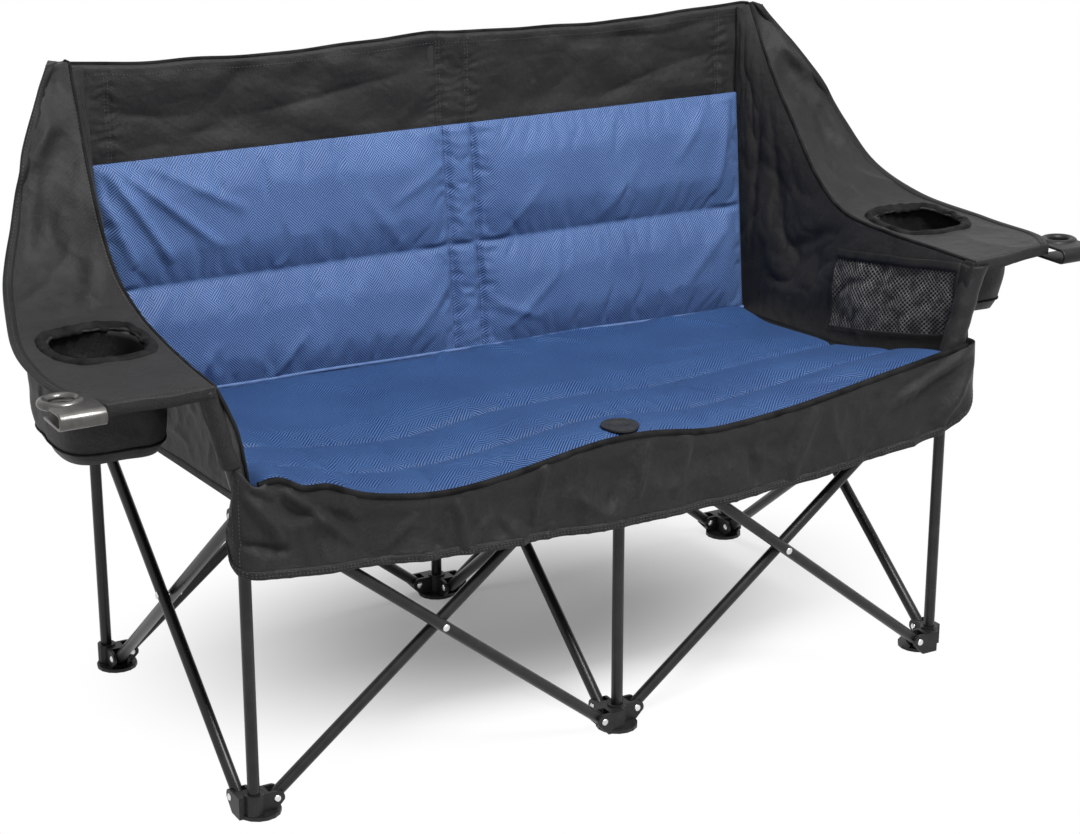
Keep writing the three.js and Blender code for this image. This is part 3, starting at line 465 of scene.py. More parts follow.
def bumped(tree, shader, height, distance, strength, under=None):
    feeds = {"Distance": distance, "Strength": strength, "Height": height}
    if under is not None:
        feeds["Normal"] = under
    normal = addNode(tree, "ShaderNodeBump", feeds).outputs["Normal"]
    feed(tree, shader, {"Normal": normal})
    return normal


# a soft-edged patchwork and its opposite
def patches(tree, scale):
    noise = cloudy(tree, scale, 2.0)
    return [addNode(tree, "ShaderNodeMapRange", {
        "Value": noise, "From Min": 0.42, "From Max": 0.58, "To Min": low, "To Max": 1.0 - low,
    }, interpolation_type="SMOOTHSTEP").outputs["Result"] for low in (0.0, 1.0)]


# blue cloth with a raised slanting weave; its sunk dots are coloured dark blue, painted shade
def blueFinish(name, pitch, patch, light, dark):
    mat, tree, shader = startFinish(name, 0.5, {
        "Sheen Weight": 0.02, "Sheen Roughness": 0.5, "Specular IOR Level": 0.16})
    slanted = clothCoords(tree, 45, pitch)
    raised = [times(tree, bands(tree, slanted, way), part) for way, part in zip("XY", patches(tree, patch))]
    dots = combine(tree, "ADD", *raised)
    threads = crossed(tree, clothCoords(tree, 0, 0.0013))
    worn = tinted(tree, cloudy(tree, 9.0), (0.86, 0.87, 0.9), (1.12, 1.11, 1.08), 0.3, 0.7)
    # dark blue where the dots sink: painted shade in the weave
    coloured(tree, shader, tinted(tree, dots, light, dark, 0.2, 0.8), worn)
    bumped(tree, shader, combine(tree, "ADD", times(tree, dots, -0.8), times(tree, threads, 0.35)), 0.0006, 0.55)
    return mat


# plain woven black cloth; the gaps between the raised threads are coloured darker, painted shade
def blackFinish(name, roughness, sheen, rumple, turn, yarn, dark, light):
    mat, tree, shader = startFinish(name, roughness, {
        "Sheen Weight": sheen, "Sheen Roughness": 0.4, "Specular IOR Level": 0.15})
    over = crossed(tree, clothCoords(tree, turn, yarn))
    # darker between the threads and lighter on their tops: painted shade, with a fine random speckle
    woven = tinted(tree, times(tree, over, cloudy(tree, 420.0)), dark, light, 0.05, 0.6)
    coloured(tree, shader, woven, tinted(tree, cloudy(tree, 14.0, 5.0), (0.86,) * 3, (1.1,) * 3, 0.3, 0.7))
    rumpled = bumped(tree, shader, cloudy(tree, 30.0, 5.0), 0.009, rumple)
    bumped(tree, shader, over, 0.0004, 0.6, rumpled)
    return mat


def speckledFinish(name, dark, light, roughness, grain, depth, **sockets):
    mat, tree, shader = startFinish(name, roughness, {key.replace("_", " "): value for key, value in sockets.items()})
    feed(tree, shader, {"Base Color": tinted(tree, cloudy(tree, grain / 12), dark, light, 0.35, 0.65)})
    bumped(tree, shader, cloudy(tree, grain, 2.0), depth, 0.35)
    return mat


blueCloth = blueFinish("blueBack", pitch=0.0029, patch=60.0, light=(0.108, 0.192, 0.428), dark=(0.015, 0.03, 0.07))
# the seat takes a darker copy of the back's blue cloth: painted shade on the same cloth
blueSeat = blueFinish("blueSeat", pitch=0.0034, patch=45.0, light=(0.04, 0.102, 0.272), dark=(0.0025, 0.0075, 0.026))
blackCloth = blackFinish("blackOxford", roughness=0.5, sheen=0.03, rumple=0.42, turn=0, yarn=0.0016,
                         dark=(0.0095, 0.009, 0.0091), light=(0.06, 0.057, 0.0565))
bindingCloth = blackFinish("blackBinding", roughness=0.55, sheen=0.02, rumple=0.3, turn=30, yarn=0.0022,
                           dark=(0.008, 0.008, 0.008), light=(0.02, 0.0195, 0.02))
blackPiping = speckledFinish("blackPiping", (0.005, 0.005, 0.0052), (0.015, 0.0145, 0.0148), 0.65, 500.0, 0.0005,
                             Specular_IOR_Level=0.05)
blackThread = speckledFinish("blackThread", (0.036, 0.036, 0.037), (0.066, 0.065, 0.066), 0.7, 900.0, 0.0002)
blueThread = speckledFinish("blueThread", (0.016, 0.032, 0.09), (0.03, 0.055, 0.14), 0.7, 900.0, 0.0002)
bluePiping = speckledFinish("bluePiping", (0.05, 0.1, 0.24), (0.08, 0.14, 0.3), 0.7, 700.0, 0.0003)
# black net cords mottled up to light grey: painted highlight on black cord
netThread = speckledFinish("netThread", (0.05, 0.05, 0.051), (0.3, 0.3, 0.302), 0.3, 800.0, 0.0002)
tubeCoat = speckledFinish("tubeCoat", (0.006, 0.006, 0.0065), (0.011, 0.011, 0.0115), 0.34, 700.0, 0.00012,
                          Specular_IOR_Level=0.35)
mouldedPlastic = speckledFinish("mouldedPlastic", (0.007, 0.007, 0.0075), (0.014, 0.014, 0.0145), 0.46, 900.0, 0.0002,
                                Specular_IOR_Level=0.3)
rivetSteel = speckledFinish("rivetSteel", (0.62, 0.62, 0.63), (0.78, 0.78, 0.79), 0.28, 600.0, 0.00008, Metallic=1.0)
clipGrey = speckledFinish("clipGrey", (0.085, 0.083, 0.078), (0.11, 0.107, 0.101), 0.3, 1100.0, 0.00006, Metallic=0.85)
clipBlack = speckledFinish("clipBlack", (0.005, 0.005, 0.0053), (0.01, 0.01, 0.0103), 0.45, 1100.0, 0.00008,
                           Specular_IOR_Level=0.25)
slotFinish = {
    "tube_coat": tubeCoat, "moulded_plastic": mouldedPlastic, "rivet_steel": rivetSteel, "black_cloth": blackCloth,
    "blue_quilt": blueCloth, "pocket_net": netThread, "clip_grey": clipGrey, "clip_black": clipBlack,
}
for part in frame["record"]["subparts"]:
    held = nodes[part["node"]].data.materials
    held.clear()
    held.append(slotFinish[part["material_slot"]])
print("finishes made")

# how each group of cloth gathers as the chair folds: the way, a place that stays, and the share that is left
gather = {
    name: {"axis": (1, 0, 0), "anchor": (at, 0, 0), "keep": keep}
    for name, at, keep in (
        ("back", 0, 0.145), ("skirt", 0, 0.035), ("edge", 0, 0.04), ("frontLeft", -0.03, 0.075),
        ("frontRight", 0.03, 0.075), ("rearLeft", -0.024, 0.09), ("rearRight", 0.024, 0.09))
}
gather["side"] = {"axis": (0, 1, 0), "anchor": (0, -0.2635, 0), "keep": 0.145}


def dress(piece, finish, body, slotName, stands=(), fold=None):
    if finish is not None:
        piece.data.materials.clear()
        piece.data.materials.append(finish)
    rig.ride(piece, body)
    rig.slot(piece, slotName)
    if stands:
        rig.replaces(piece, *stands)
    if fold:
        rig.squash(piece, "fold", **gather[fold])
    return piece


def trim(piece, finish, body, fold):
    return dress(piece, finish, body, "black_cloth", fold=fold)


# mesh makers for sheets and pads
def makePiece(name, points, faces, cut=None):
    mesh = bpy.data.meshes.new(name)
    mesh.from_pydata(inMetres(points).tolist(), [], [list(map(int, face)) for face in faces])
    if cut is not None:
        layer = mesh.uv_layers.new(name="cut")
        corners = np.empty(len(mesh.loops), np.int32)
        mesh.loops.foreach_get("vertex_index", corners)
        layer.data.foreach_set("uv", (np.asarray(cut, float)[corners] * mm).astype(np.float32).ravel())
    mesh.polygons.foreach_set("use_smooth", np.ones(len(mesh.polygons), bool))
    mesh.update()
    piece = bpy.data.objects.new(name, mesh)
    scene.collection.objects.link(piece)
    return piece


def gridFaces(rows, columns, wrap=False):
    across = columns if wrap else columns - 1
    j, i = np.meshgrid(np.arange(rows - 1), np.arange(across), indexing="ij")
    a, b = j * columns + i, j * columns + (i + 1) % columns
    return np.stack([a, b, b + columns, a + columns], axis=-1).reshape(-1, 4)


def unit(vectors):
    return vectors / np.maximum(np.linalg.norm(vectors, axis=-1, keepdims=True), 1e-9)


def gridNormals(grid, wrap=False):
    if wrap:
        along = np.roll(grid, -1, axis=1) - np.roll(grid, 1, axis=1)
    else:
        along = np.gradient(grid, axis=1)
    return unit(np.cross(along, np.gradient(grid, axis=0)))


# normals on the side that a sample of them should show
def turnedTo(normal, sample, sign):
    return normal if np.mean(sample) * sign > 0 else -normal


# running length along lines of points
def lengths(points, axis=0):
    steps = np.linalg.norm(np.diff(points, axis=axis), axis=-1)
    return np.concatenate([np.zeros_like(np.take(steps, [0], axis)), np.cumsum(steps, axis=axis)], axis=axis)


# the flat cut of a grid: lengths along its threads
def flatCut(grid):
    across = lengths(grid, 1)
    return np.stack([across - across[:, across.shape[1] // 2, None], lengths(grid)], axis=-1)


def flatSize(grid):
    cut = flatCut(grid)
    width = np.max(cut[:, -1, 0] - cut[:, 0, 0])
    length = np.max(cut[-1, :, 1])
    one, two = grid[1:, 1:] - grid[:-1, :-1], grid[1:, :-1] - grid[:-1, 1:]
    area = np.linalg.norm(np.cross(one, two), axis=2).sum() / 2
    return {"flat": (round(width * mm, 3), round(length * mm, 3)), "area": round(area * mm * mm, 4)}


# a wrapped grid with its first column again at the end
def looped(grid):
    return np.concatenate([grid, grid[:, :1]], axis=1)


# closes two faces with the same net, walls along every open edge
def closedShell(front, rear, faces):
    count = len(front)
    edges = np.concatenate([np.stack([faces[:, k], faces[:, (k + 1) % 4]], axis=1) for k in range(4)])
    first, uses = np.unique(np.sort(edges, axis=1), axis=0, return_index=True, return_counts=True)[1:]
    rim = edges[first[uses == 1]]
    walls = np.stack([rim[:, 1], rim[:, 0], rim[:, 0] + count, rim[:, 1] + count], axis=1)
    return np.concatenate([front, rear]), np.concatenate([faces, faces[:, ::-1] + count, walls])


def clothSheet(name, grid, thickness, wrap=False, keep=None, cut=None):
    rows, columns = grid.shape[:2]
    faces = gridFaces(rows, columns, wrap)
    normal = gridNormals(grid, wrap).reshape(-1, 3)
    points = grid.reshape(-1, 3)
    cut = (flatCut(grid) if cut is None else cut).reshape(-1, 2)
    if keep is not None:
        points, faces = keep(points, faces)
        used, inverse = np.unique(faces, return_inverse=True)
        faces = inverse.reshape(-1, 4)
        points, normal, cut = points[used], normal[used], cut[used]
    half = normal * thickness / 2
    shell, faces = closedShell(points + half, points - half, faces)
    return makePiece(name, shell, faces, np.concatenate([cut, cut]))


def blackSheet(name, grid, thickness, body, node, fold=None, **how):
    piece = clothSheet(name, grid, thickness, **how)
    return dress(piece, blackCloth, body, "black_cloth", stands=[node], fold=fold)


# frame of an edge of a grid: its line, the way into the cloth and the way out of the face
def edgeFrame(grid, side):
    normal = gridNormals(grid)
    pick = {"first": (grid[0], grid[1], normal[0]), "last": (grid[-1], grid[-2], normal[-1]),
            "start": (grid[:, 0], grid[:, 1], normal[:, 0]), "end": (grid[:, -1], grid[:, -2], normal[:, -1])}
    line, inner, out = pick[side]
    return line, unit(inner - line), out


# flat folded strip that takes in an edge
def bindEdge(name, line, inward, out, width, thick, outset=1.5):
    half = thick / 2
    turns = np.linspace(math.pi / 2, 3 * math.pi / 2, 5)
    profile = [(width, half), (width * 0.5, half * 1.05)]
    profile += [(half * (1 + math.cos(turn)) - outset, half * math.sin(turn)) for turn in turns]
    profile += [(width * 0.5, -half * 1.05), (width, -half)]
    grid = np.stack([line + inward * a + out * b for a, b in profile], axis=1)
    count, rows = grid.shape[:2]
    faces = [list(face) for face in gridFaces(count, rows, wrap=True)]
    faces += [list(range(rows))[::-1], [(count - 1) * rows + k for k in range(rows)]]
    cut = np.stack(np.broadcast_arrays(lengths(line)[:, None], lengths(np.array(profile))[None, :]), axis=-1)
    return faceOut(makePiece(name, grid.reshape(-1, 3), faces, cut.reshape(-1, 2)))


def edging(name, grid, side, width, thick):
    return bindEdge(name, *edgeFrame(grid, side), width, thick)


# round cord or rod along a line, as a mesh
def rodAlong(name, line, radius, turns=4):
    curve = bpy.data.curves.new(name, "CURVE")
    curve.dimensions = "3D"
    curve.bevel_depth = radius * mm
    curve.bevel_resolution = turns
    curve.use_fill_caps = True
    spline = curve.splines.new("POLY")
    spline.points.add(len(line) - 1)
    for point, at in zip(spline.points, inMetres(line)):
        point.co = (*at, 1)
    rod = bpy.data.objects.new(name, curve)
    scene.collection.objects.link(rod)
    only(rod)
    bpy.ops.object.convert(target="MESH")
    rod = bpy.context.object
    smoothBy(40)
    return rod


# stitches are gathered by what carries them and made at the end
stitchRuns = {}


def sew(group, line, out, lift=0.4, pitch=5.2, length=3.6, width=1.3):
    along = lengths(line)
    stops = np.arange(pitch / 2, along[-1], pitch)

    def at(values, where):
        return np.stack([np.interp(where, along, values[:, k]) for k in range(3)], axis=1)

    ahead = unit(at(line, stops + 1) - at(line, stops - 1))
    up = at(out, stops)
    up = unit(up - ahead * (up * ahead).sum(1, keepdims=True))
    centre = at(line, stops) + up * lift
    long, wide, tall = ahead * length / 2, np.cross(up, ahead) * width / 2, up * width / 2
    corners = [centre + end for end in (long, wide, -long, -wide, tall, -tall)]
    stitchRuns.setdefault(group, []).append(np.stack(corners, axis=1))


def makeStitches(group, finish, body, slotName, fold=None):
    points = np.concatenate(stitchRuns.pop(group))
    pattern = np.array([(0, 1, 4), (1, 2, 4), (2, 3, 4), (3, 0, 4), (1, 0, 5), (2, 1, 5), (3, 2, 5), (0, 3, 5)])
    faces = (np.arange(len(points))[:, None, None] * 6 + pattern[None]).reshape(-1, 3)
    return dress(makePiece(group, points.reshape(-1, 3), faces), finish, body, slotName, fold=fold)


# steel tubes, their pins and the rivets of the crossings
steel = {
    "reach": 31.0, "footPivot": 20.0, "bracketPivot": 400.0, "plane": 8.5, "past": 6.0, "fork": 12.3,
    "head": 5.0, "dome": 0.46, "pin": 2.5, "sides": 32, "bendHeight": 427.0, "bendRun": 26.0,
    "lean": (40.0, -4.0, 577.0), "soft": {"strut": 2.5, "pin": 0.5, "post": 1.5},
}
posts = {"front_left": (-540, -270), "front_middle": (0, -270), "front_right": (540, -270),
         "back_left": (-540, 270), "back_middle": (0, 270), "back_right": (540, 270)}
bays = {
    "front_left": {"outer": ("front_middle", "front_left", -1), "inner": ("front_left", "front_middle", 1)},
    "front_right": {"outer": ("front_right", "front_middle", -1), "inner": ("front_middle", "front_right", 1)},
    "left_side": {"outer": ("front_left", "back_left", -1), "inner": ("back_left", "front_left", 1)},
    "right_side": {"outer": ("front_right", "back_right", 1), "inner": ("back_right", "front_right", -1)},
    "middle": {"left": ("front_middle", "back_middle", -1), "right": ("back_middle", "front_middle", 1)},
    "rear_left": {"outer": ("back_middle", "back_left", 1), "inner": ("back_left", "back_middle", -1)},
    "rear_right": {"outer": ("back_right", "back_middle", 1), "inner": ("back_middle", "back_right", -1)},
}
rivetHolder = {"front_right": "inner", "rear_right": "inner", "middle": "left"}


def strutEnds(start, end, side):
    (x0, y0), (x1, y1) = posts[start], posts[end]
    along = Vector((x1 - x0, y1 - y0, 0)).normalized()
    square = Vector((0, 1, 0)) if abs(along.x) > 0.5 else Vector((1, 0, 0))
    aside = square * side * steel["plane"]
    low = Vector((x0, y0, steel["footPivot"])) + along * steel["reach"] + aside
    high = Vector((x1, y1, steel["bracketPivot"])) - along * steel["reach"] + aside
    return low, high, square, aside


# a round bar with softened ends, and a rivet head, each modelled with its axis up
def barAt(name, low, high, radius, soft):
    axis = high - low
    deselect()
    bpy.ops.mesh.primitive_cylinder_add(
        vertices=steel["sides"], radius=radius * mm, depth=axis.length * mm, location=place(*((low + high) / 2)),
        rotation=axis.to_track_quat("Z", "Y").to_euler())
    bar = settle(bpy.context.object)
    bar.name = name
    softEdges(bar, soft * mm, 3, 50)
    applyAll(bar)
    smoothBy(40)
    return bar


def headAt(centre, square):
    deselect()
    bpy.ops.mesh.primitive_uv_sphere_add(
        segments=20, ring_count=10, radius=steel["head"] * mm, location=place(*centre),
        rotation=square.to_track_quat("Z", "Y").to_euler(), scale=(1, 1, steel["dome"]))
    head = settle(bpy.context.object)
    head.data.materials.append(rivetSteel)
    bpy.ops.object.shade_smooth()
    return head


def unite(main, extras):
    only(main)
    for extra in extras:
        extra.select_set(True)
    bpy.ops.object.join()
    return main


for bay, struts in bays.items():
    for where, ends in struts.items():
        low, high, square, aside = strutEnds(*ends)
        name = f"{bay}_{where}_strut"
        past = (high - low).normalized() * steel["past"]
        bar = barAt(f"{name}_tube", low - past, high + past, chair["tube"], steel["soft"]["strut"])
        bar.data.materials.append(tubeCoat)
        heads = [headAt(pivot + square * end * steel["fork"], square) for pivot in (low, high) for end in (-1, 1)]
        unite(bar, heads)
        dress(bar, None, name, "tube_coat", stands=[name])
    low, high, square, aside = strutEnds(*list(struts.values())[0])
    crossing = (low + high) / 2 - aside
    outside = square * (steel["plane"] + chair["tube"])
    pin = barAt(f"{bay}_rivet_pin", crossing - outside, crossing + outside, steel["pin"], steel["soft"]["pin"])
    pin.data.materials.append(rivetSteel)
    unite(pin, [headAt(crossing + outside * end, square) for end in (-1, 1)])
    holder = rivetHolder.get(bay, "outer")
    dress(pin, None, f"{bay}_{holder}_strut", "rivet_steel", stands=[f"{bay}_rivet"])

for name, (x, y) in posts.items():
    node = f"{name}_post"
    low, high = (corner.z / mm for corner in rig.box(node))
    if name in ("front_left", "front_right"):
        side = math.copysign(1, x)
        top = np.array((x + side * steel["lean"][0], y + steel["lean"][1], high))
        bend = np.array((x, y, steel["bendHeight"]))
        before = bend - np.array((0, 0, steel["bendRun"]))
        after = bend + (top - bend) / np.linalg.norm(top - bend) * steel["bendRun"]
        shares = np.linspace(0, 1, 9)[:, None]
        arc = (1 - shares) ** 2 * before + 2 * shares * (1 - shares) * bend + shares ** 2 * after
        bar = rodAlong(f"{node}_tube", np.concatenate([[(x, y, low)], arc, [top]]), chair["tube"], 7)
    else:
        bar = barAt(f"{node}_tube", Vector((x, y, low)), Vector((x, y, high)), chair["tube"], steel["soft"]["post"])
    dress(bar, tubeCoat, node, "tube_coat", stands=[node])
print("tubes and rivets made")


# swells a pad by cloth simulation: sewn points and the lining hold still, and movement is capped
def puffUp(label, front, rear, sewn, push):
    rows, columns = front.shape[:2]
    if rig.quick():
        return front
    points, faces = closedShell(front.reshape(-1, 3), rear.reshape(-1, 3), gridFaces(rows, columns))
    trial = makePiece(label + "Trial", points, faces)
    held = np.concatenate([np.flatnonzero(sewn.ravel()), np.arange(rows * columns, 2 * rows * columns)])
    trial.vertex_groups.new(name="sewn").add([int(k) for k in held], 1.0, "REPLACE")
    cloth = trial.modifiers.new("puff", "CLOTH")
    for name, value in {
        "vertex_group_mass": "sewn", "quality": push["quality"], "mass": push["mass"],
        "tension_stiffness": push["stiff"], "compression_stiffness": push["stiff"],
        "shear_stiffness": push["stiff"] / 3, "bending_stiffness": push["bend"],
        "shrink_min": -push["spare"], "use_pressure": True, "uniform_pressure_force": push["pressure"],
    }.items():
        setattr(cloth.settings, name, value)
    cloth.settings.effector_weights.gravity = 0
    cloth.collision_settings.use_collision = False
    cloth.collision_settings.use_self_collision = False
    cloth.point_cache.frame_start = 1
    cloth.point_cache.frame_end = push["frames"]
    for step in range(1, push["frames"] + 1):
        scene.frame_set(step)
    shaped = trial.evaluated_get(bpy.context.evaluated_depsgraph_get()).data
    moved = np.empty(len(shaped.vertices) * 3, np.float32)
    shaped.vertices.foreach_get("co", moved)
    moved = moved.reshape(-1, 3)[:rows * columns].reshape(rows, columns, 3) / mm - rowShift
    bpy.data.objects.remove(trial)
    scene.frame_set(1)
    travel = moved - front
    far = np.linalg.norm(travel, axis=2, keepdims=True)
    print(label, "swelled by", round(float(far.mean()), 2), "mm on average,", round(float(far.max()), 2), "at most")
    return front + travel * np.minimum(1, push["cap"] / np.maximum(far, 1e-9))


# halves the net of a grid with a smooth curve through its points
def refine(grid):
    for axis in (0, 1):
        grid = np.swapaxes(grid, 0, axis)
        padded = np.concatenate([2 * grid[:1] - grid[1:2], grid, 2 * grid[-1:] - grid[-2:-1]])
        between = (9 * (padded[1:-2] + padded[2:-1]) - padded[:-3] - padded[3:]) / 16
        made = np.empty((2 * len(grid) - 1, *grid.shape[1:]))
        made[::2], made[1::2] = grid, between
        grid = np.swapaxes(made, 0, axis)
    return grid


def padPiece(name, front, rear, cut, faceFinish, liningFinish, shade):
    rows, columns = front.shape[:2]
    faces = gridFaces(rows, columns)
    points, shell = closedShell(front.reshape(-1, 3), rear.reshape(-1, 3), faces)
    flat = cut.reshape(-1, 2)
    piece = makePiece(name, points, shell, np.concatenate([flat, flat]))
    piece.data.materials.append(faceFinish)
    piece.data.materials.append(liningFinish)
    which = np.zeros(len(shell), np.int32)
    which[len(faces):2 * len(faces)] = 1
    piece.data.polygons.foreach_set("material_index", which)
    shade = shade.reshape(-1, 3)
    piece.data.normals_split_custom_set_from_vertices(np.concatenate([shade, -shade]).tolist())
    return piece


def rowsThrough(stops, step):
    made = [np.linspace(a, b, max(2, round((b - a) / step) + 1))[:-1] for a, b in zip(stops, stops[1:])]
    return np.concatenate([*made, [stops[-1]]])


# how far a pad is filled between its seams
def filled(value, seams, width):
    share = np.clip(np.min([np.abs(value - seam) for seam in seams], axis=0) / width, 0, 1)
    return np.sqrt(share * (2 - share))


# a sewn line sinks in and gathers the cloth beside it
def seamSink(away, along, a, b, sink, seed):
    ripple = sink["ripple"] * np.sin(along * math.tau / sink["period"] + 2 * slack(a, b, sink["pitch"], seed))
    return sink["deep"] * np.exp(-(away / sink["narrow"]) ** 2) + ripple * np.exp(-(away / sink["wide"]) ** 2)


# the right front corner of the seat is drawn out and up
corner = {"out": 32.0, "up": 10.0}


def easeCorner(points):
    x, y, z = (points[..., k] for k in range(3))
    share = smooth(250, 545, x) * smooth(80, 290, -y) * smooth(-586, -480, -z)
    return points + share[..., None] * np.array((corner["out"], 0.0, corner["up"]))


# seat: one quilted cloth, cut where the chair folds
seat = {
    "half": 526.0, "front": -294.5, "edge": -252.0, "channel": -189.5, "split": -64.5, "rear": 216.7,
    "rearHeight": (410.5, 402.5), "hollow": 10.0, "under": 8.0, "fill": 11.0, "roll": 40.0, "tuck": 12.0,
    "step": 7.2, "button": 30.0,
    "press": {"share": 0.8, "from": 330.0, "until": (90.0, 190.0)},
    "sink": {"deep": 2.4, "narrow": 5.0, "ripple": 1.1, "period": 27.0, "wide": 20.0, "pitch": 120.0,
             "seeds": (46, 47)},
    "frontEdge": [(-526, 455), (-498, 456), (-470, 441), (-440, 438), (-408, 425), (-340, 406), (-280, 399),
                  (-210, 402), (-150, 410), (-60, 424), (0, 427.5), (60, 423), (120, 415), (180, 416), (280, 425),
                  (400, 441), (470, 450), (526, 458)],
    "push": {"pressure": 4.0, "mass": 0.05, "stiff": 10.0, "bend": 0.5, "spare": 0.004, "quality": 4,
             "frames": 20, "cap": 5.0},
    "creases": [((20, 212), (80, 120), 8, 5.6), ((70, 212), (190, 130), 9, 5.6), ((110, 210), (270, 165), 8, 4.8),
                ((-10, 212), (-60, 140), 8, 4.0), ((330, 200), (430, 90), 12, 4.0),
                ((-300, 170), (-170, 70), 14, 3.2), ((-470, -215), (-360, -282), 10, -4.8),
                ((-250, -230), (-150, -288), 9, -4.0), ((300, -250), (400, -288), 9, -4.0),
                ((-500, -40), (-330, -90), 12, 3.52), ((250, 40), (480, -20), 14, 3.52),
                ((-505, -180), (-420, -262), 9, 4.8)],
}
seatEdgeHeight = curveThrough(seat["frontEdge"])


def seatCloth(x, y):
    along = (y - seat["front"]) / (seat["rear"] - seat["front"])
    rise = mix(seatEdgeHeight(x), mix(*seat["rearHeight"], (x + seat["half"]) / (2 * seat["half"])), along)
    return rise - seat["hollow"] * np.sin(math.pi * along) + 1.2 * slack(x, y, 240, 3) * np.sin(math.pi * along)


def seatGrids():
    seams = [seat["front"], seat["channel"], seat["split"], seat["rear"]]
    xs = np.linspace(-seat["half"], seat["half"], 2 * round(seat["half"] / seat["step"]) + 1)
    x, y = np.meshgrid(xs, rowsThrough([seat["front"], seat["edge"], *seams[1:]], seat["step"]))
    base = seatCloth(x, y)
    top = base + seat["fill"] * filled(y, seams, seat["roll"]) * filled(x, [-seat["half"], seat["half"]], seat["roll"])
    sewn = np.isin(y, seams) | (np.abs(x) == seat["half"]) | (np.hypot(x, y - chair["frontY"]) < seat["button"])
    return np.stack([x, y, top], axis=-1), np.stack([x, y, base - seat["under"]], axis=-1), sewn


seatTop, seatUnder, seatSewn = seatGrids()
seatTop = puffUp("seat", seatTop, seatUnder, seatSewn, seat["push"])
seatTop, seatUnder, seatFlat = refine(seatTop), refine(seatUnder), refine(seatTop[..., :2])
x, y, z = (seatTop[..., k] for k in range(3))
press = seat["press"]
flattened = press["share"] * smooth(press["from"], seat["half"], x) * (1 - smooth(*press["until"], y))
z[:] = mix(z, seatCloth(x, y), flattened)
for seed, seam in zip(seat["sink"]["seeds"], (seat["channel"], seat["split"])):
    z -= seamSink(y - seam, x, x, y, seat["sink"], seed)
z += creased(x, y, seat["creases"]) * filled(y, [seat["front"], seat["rear"]], seat["tuck"])
seatTop, seatUnder = easeCorner(seatTop), easeCorner(seatUnder)
seatShade = gridNormals(seatTop)


def seatPart(name, low, high, left, right, body, fold, node):
    def between(values, start, end):
        return np.flatnonzero((values >= start - 0.01) & (values <= end + 0.01))

    block = np.ix_(between(seatTop[:, 0, 1], low, high), between(seatTop[0, :, 0], left, right))
    piece = padPiece(name, seatTop[block], seatUnder[block], seatFlat[block], blueSeat, blackCloth, seatShade[block])
    dress(piece, None, body, "blue_quilt", stands=[node], fold=fold)
    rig.padded(piece, fill=0.45)


ends = (-seat["half"], seat["half"])
seatPart("seat_front_edge", seat["front"], seat["edge"], *ends, "front_middle_post", "edge", "seat_edge")
for hand, left, right in (("left", ends[0], 0), ("right", 0, ends[1])):
    for row, low, high in (("front", seat["edge"], seat["split"]), ("rear", seat["split"], seat["rear"])):
        seatPart(f"seat_{row}_{hand}", low, high, left, right, f"seat_{row}", f"{row}{hand.title()}", f"seat_{row}")
print("seat quilted")

# back pad: two fields either side of the stitched strip, each with one channel
back = {
    "half": 526.0, "foot": 402.0, "top": 742.0, "channel": 0.482, "footY": 219.0, "topY": 252.0,
    "lining": 6.0, "seam": 2.0, "fill": 9.0, "roll": (34.0, 40.0), "tuck": 25.0,
    "stitchHalf": 23.0, "stitchTop": 34.0, "stitchFoot": 35.0, "step": 7.0,
    "fieldColumns": 73, "stripColumns": 7, "threadSunk": 1.6,
    "piping": 2.6, "pipingY": 211.5, "pipingZ": (415.0, 406.0),
    "sink": {"deep": 2.6, "narrow": 4.5, "ripple": 0.9, "period": 19.0, "wide": 17.0, "pitch": 80.0,
             "seeds": (44, 45)},
    "creases": [((-512, 741), (-425, 600), 8, 8.0), ((-495, 741), (-350, 610), 8, 7.0),
                ((-455, 741), (-310, 660), 8, 5.0), ((-520, 700), (-480, 600), 8, 6.0),
                ((508, 741), (470, 590), 9, 5.0), ((470, 741), (400, 650), 9, 3.5),
                ((515, 565), (400, 450), 11, 3.5), ((250, 566), (340, 660), 10, 2.5),
                ((-505, 470), (-430, 562), 11, 4.0), ((-300, 404), (-230, 480), 8, 4.0),
                ((-420, 404), (-370, 480), 8, 4.0), ((-480, 404), (-440, 450), 8, 4.0),
                ((90, 566), (170, 650), 8, 3.0), ((90, 430), (200, 520), 8, 3.0), ((60, 480), (160, 440), 7, 3.0),
                ((5, 520), (-70, 440), 8, 3.0), ((5, 690), (-90, 640), 8, 3.0), ((-60, 566), (-130, 660), 9, 3.0)],
    "push": {"pressure": 8.0, "mass": 0.02, "stiff": 8.0, "bend": 0.8, "spare": 0.016, "quality": 4,
             "frames": 20, "cap": 9.0},
}


backRows = [back["foot"], mix(back["foot"], back["top"], back["channel"]), back["top"]]


def upBack(foot, top, z):
    return mix(foot, top, (z - back["foot"]) / (back["top"] - back["foot"]))


def backLine(z):
    return upBack(back["footY"], back["topY"], z)


def stitchMiddle(z):
    return upBack(back["stitchFoot"], back["stitchTop"], z)


def backGrids():
    zs = rowsThrough(backRows, back["step"])[:, None]
    left, right = stitchMiddle(zs) - back["stitchHalf"], stitchMiddle(zs) + back["stitchHalf"]
    field = np.linspace(0, 1, back["fieldColumns"])[None, :]
    strip = np.linspace(0, 1, back["stripColumns"])[None, 1:-1]
    parts = ((-back["half"], left, field), (left, right, strip), (right, back["half"], field))
    x = np.concatenate([mix(*part) for part in parts], axis=1)
    z = np.broadcast_to(zs, x.shape)
    crossways = filled(x, [-back["half"], left, right, back["half"]], back["roll"][0])
    y = backLine(z) - back["seam"] - back["fill"] * crossways * filled(z, backRows, back["roll"][1])
    sewn = np.isin(zs, backRows) | (x == x[:, :1]) | (x == x[:, -1:]) | np.isclose(x, left) | np.isclose(x, right)
    return np.stack([x, y, z], axis=-1), np.stack([x, backLine(z) + back["lining"], z], axis=-1), sewn


